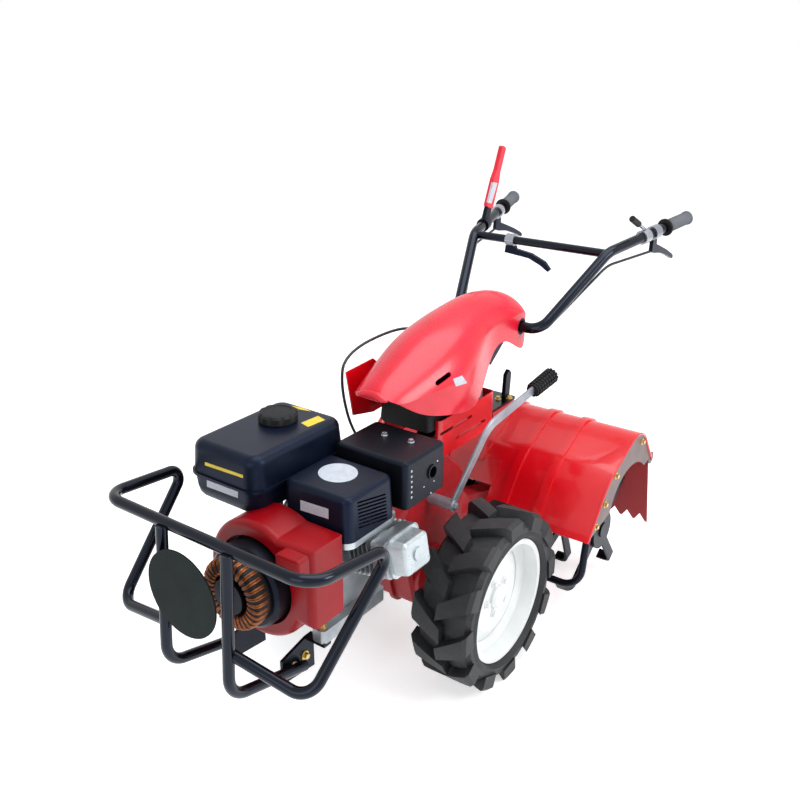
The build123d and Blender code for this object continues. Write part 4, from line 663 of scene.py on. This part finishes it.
# Hood: a rolled rim at each end and the closing sheet above the drive leg
HOOD_LINE = [at(x, 0, z) for x, z in (
    (-0.300, 0.312), (-0.415, 0.462), (-0.640, 0.566), (-0.742, 0.420),
)]
HOOD_END = 0.4178
HOOD_KNEE_R = 0.26
HOOD_CREST_R = 0.09
HOOD_STEPS = 24
RIM_R = 0.0042
rims = bmesh.new()
for side in SIDES:
    line = [point + LEFT * side * HOOD_END for point in HOOD_LINE]
    front = rounded_path(line[:3], HOOD_KNEE_R, HOOD_STEPS)
    back = rounded_path(line[1:], HOOD_CREST_R, HOOD_STEPS)
    tube(rims, front[:-1] + back[1:], RIM_R, 10)
piece("hood_rims", rims, RED_PAINT, "chassis")

hood_edge, hood_knee = HOOD_LINE[0], HOOD_LINE[1]
run = (hood_knee - hood_edge).normalized()
outward = Vector((run.z, 0, -run.x))
SHEET_CORNERS = ((0.078, 0.074), (0.078, -0.074), (0.162, -0.074), (0.162, 0.074))
SHEET_FACES = (0.0032, 0.0052)
closing = bmesh.new()
loft(closing, [
    [hood_edge + run * along + LEFT * across + outward * lift for along, across in SHEET_CORNERS]
    for lift in SHEET_FACES
])
piece("hood_closing_sheet", closing, RED_PAINT, "chassis")


# Column cover: the closed nose and tail
def arch(ahead, half_w, low, shoulder, crown, steps=24):
    """Points round an arched section of the cover."""
    rise = crown - shoulder
    radius = (half_w ** 2 + rise ** 2) / (2 * rise)
    spread_angle = 2 * atan2(rise, half_w)
    points = [at(ahead, half_w, low)]
    for k in range(steps + 1):
        turn = spread_angle * (1 - 2 * k / steps)
        points.append(at(ahead, radius * sin(turn), crown - radius * (1 - cos(turn))))
    return points + [at(ahead, -half_w, low)]


# Sections of the ends: place ahead, half width, and the heights of the foot, shoulder and crown
NOSE_SECTIONS = (
    (0.163, 0.0515, 0.8215, 0.8262, 0.8417), (0.170, 0.048, 0.820, 0.8255, 0.8395),
    (0.175, 0.040, 0.8195, 0.8245, 0.835), (0.177, 0.030, 0.821, 0.8235, 0.8305),
)
TAIL_SECTIONS = (
    (-0.4878, 0.0778, 0.8322, 0.896, 0.9378), (-0.494, 0.0745, 0.8345, 0.893, 0.934),
    (-0.4985, 0.068, 0.839, 0.887, 0.926), (-0.5005, 0.058, 0.847, 0.880, 0.914),
)
nose = bmesh.new()
loft(nose, [arch(*section) for section in NOSE_SECTIONS])
piece("cover_nose", nose, RED_MOULDED, "chassis")
tail = bmesh.new()
loft(tail, [arch(*section) for section in TAIL_SECTIONS])
piece("cover_tail", tail, RED_MOULDED, "chassis")

# Under the cover: a matte black box behind its openings as painted shade, and the rubber rings round the
# handle tube
SHADE_BOX_LOW = at(-0.200, -0.084, 0)
SHADE_BOX_HIGH = at(0.030, 0.084, 0)
SHADE_BOX_CORNER_R = 0.014
SHADE_BOX_STEPS = ((0.004, 0.690), (0.0, 0.694), (0.008, 0.800), (0.024, 0.856), (0.034, 0.864))
shade_box = stepped_box(SHADE_BOX_LOW, SHADE_BOX_HIGH, SHADE_BOX_CORNER_R, SHADE_BOX_STEPS)
piece("painted_shade_box", shade_box, BLACK_MATTE, "chassis")
TUBE_RING_R = 0.0222
TUBE_RING_WIRE = 0.0052
TUBE_RING_OUT = 0.0795
TUBE_RING_STEPS = 36
TUBE_AHEAD = -0.455
TUBE_UP = 0.866
tube_rings = bmesh.new()
for side in SIDES:
    centre = at(TUBE_AHEAD, side * TUBE_RING_OUT, TUBE_UP)
    turns = [2 * pi * k / TUBE_RING_STEPS for k in range(TUBE_RING_STEPS)]
    circle = [centre + Vector((TUBE_RING_R * cos(turn), 0, TUBE_RING_R * sin(turn))) for turn in turns]
    tube(tube_rings, circle, TUBE_RING_WIRE, 10, closed=True)
piece("handle_tube_rings", tube_rings, BLACK_MATTE, "chassis")

# Grips: black flanges and ribbed sleeves
GRIP_END = at(-1.092, 0.322, 1.116)
GRIP_BEND = at(-0.692, 0.236, 1.066)
FLANGE_BACK = 0.1235
FLANGE_PROFILE = [(0.022, 0), (0.0272, 0.0015), (0.0278, 0.005), (0.0272, 0.0085), (0.0215, 0.010)]
RIB_COUNT = 26
RIB_BACK = 0.108
RIB_PITCH = 0.0042
RIB_PROFILE = [(0.0196, 0), (0.0206, 0.0007), (0.0206, 0.0019), (0.0196, 0.0026)]
END_BACK = 0.001
END_PROFILE = [(0.0198, -0.004), (0.0225, -0.002), (0.0225, 0.004), (0.020, 0.0065)]
for side, grip_name in zip(SIDES, ("left", "right")):
    tip = Vector((GRIP_END.x, side * GRIP_END.y, GRIP_END.z))
    way = (tip - Vector((GRIP_BEND.x, side * GRIP_BEND.y, GRIP_BEND.z))).normalized()
    flange = bmesh.new()
    ring_stack(flange, tip - way * FLANGE_BACK, way, FLANGE_PROFILE, 40)
    piece(f"grip_flange_{grip_name}", flange, BLACK_MATTE, "handle")
    ribs = bmesh.new()
    for k in range(RIB_COUNT):
        ring_stack(ribs, tip - way * (RIB_BACK - k * RIB_PITCH), way, RIB_PROFILE, 32)
    ring_stack(ribs, tip - way * END_BACK, way, END_PROFILE, 32)
    piece(f"grip_ribs_{grip_name}", ribs, GRIP_GREY, "handle")

# Right side panel between the cover's skirt and the gearbox
PANEL_OUTLINE = (
    (0.126, 0.852), (0.009, 0.858), (-0.060, 0.800), (-0.081, 0.706), (0.010, 0.700), (0.100, 0.720),
)
PANEL_FACES = (-0.119, -0.116)
panel = bmesh.new()
loft(panel, [[at(x, y, z) for x, z in PANEL_OUTLINE] for y in PANEL_FACES])
piece("right_side_panel", panel, RED_PAINT, "chassis")


# Floor and light

def background_rays(tree):
    """1 for the rays that see the background: from the camera, off gloss and through glass."""
    rays = tree.nodes.new("ShaderNodeLightPath")
    seen_by = rays.outputs["Is Camera Ray"]
    for kind in ("Is Glossy Ray", "Is Transmission Ray"):
        either = tree.nodes.new("ShaderNodeMath")
        either.operation = "MAXIMUM"
        tree.links.new(seen_by, either.inputs[0])
        tree.links.new(rays.outputs[kind], either.inputs[1])
        seen_by = either.outputs[0]
    return seen_by


FLOOR_SIZE = 60
floor_mesh = bpy.data.meshes.new("floor")
floor_corners = [(x * FLOOR_SIZE, y * FLOOR_SIZE, 0) for x, y in ((-1, -1), (1, -1), (1, 1), (-1, 1))]
floor_mesh.from_pydata(floor_corners, [], [(0, 1, 2, 3)])
floor = bpy.data.objects.new("floor", floor_mesh)
bpy.context.scene.collection.objects.link(floor)
FLOOR_WHITE = finish("floor_white", srgb(252, 252, 252), srgb(255, 255, 255), (0.7, 0.8), patch=1, bump=0.0,
                     Emission_Color=(1, 1, 1, 1))
floor_mesh.materials.append(FLOOR_WHITE)
FLOOR_GLOW = 0.55
floor_tree = FLOOR_WHITE.node_tree
floor_glow = floor_tree.nodes.new("ShaderNodeMath")
floor_glow.operation = "MULTIPLY"
floor_glow.inputs[1].default_value = FLOOR_GLOW
floor_tree.links.new(background_rays(floor_tree), floor_glow.inputs[0])
floor_surface = [node for node in floor_tree.nodes if node.type == "BSDF_PRINCIPLED"][0]
floor_tree.links.new(floor_glow.outputs[0], floor_surface.inputs["Emission Strength"])


def soft_light(name, place, target, size, power, colour=(1, 1, 1)):
    """Square soft box that looks at a point."""
    lamp = bpy.data.lights.new(name, "AREA")
    lamp.size = size
    lamp.energy = power
    lamp.color = colour
    made = bpy.data.objects.new(name, lamp)
    bpy.context.scene.collection.objects.link(made)
    made.location = place
    made.rotation_euler = (Vector(target) - Vector(place)).to_track_quat("-Z", "Y").to_euler()


soft_light("sky_box", (-0.4, 0.8, 4.4), (0, 0, 0.5), 3.6, 130, (0.95, 0.98, 1.0))
soft_light("left_box", (-1.0, 4.2, 2.8), (0, 0, 0.6), 2.0, 98)
soft_light("front_box", (4.2, 0.6, 2.0), (0, 0, 0.5), 2.4, 30)

AMBIENT_COLOUR = (0.93, 0.96, 1.0, 1)
AMBIENT_STRENGTH = 0.5
world = bpy.data.worlds.new("studio")
bpy.context.scene.world = world
world.use_nodes = True
sky = world.node_tree
ambient = sky.nodes["Background"]
ambient.inputs["Color"].default_value = AMBIENT_COLOUR
ambient.inputs["Strength"].default_value = AMBIENT_STRENGTH
backdrop = sky.nodes.new("ShaderNodeBackground")
backdrop.inputs["Color"].default_value = (1, 1, 1, 1)
backdrop.inputs["Strength"].default_value = 1.0
either = sky.nodes.new("ShaderNodeMixShader")
sky.links.new(background_rays(sky), either.inputs["Fac"])
sky.links.new(ambient.outputs["Background"], either.inputs[1])
sky.links.new(backdrop.outputs["Background"], either.inputs[2])
sky.links.new(either.outputs["Shader"], sky.nodes["World Output"].inputs["Surface"])
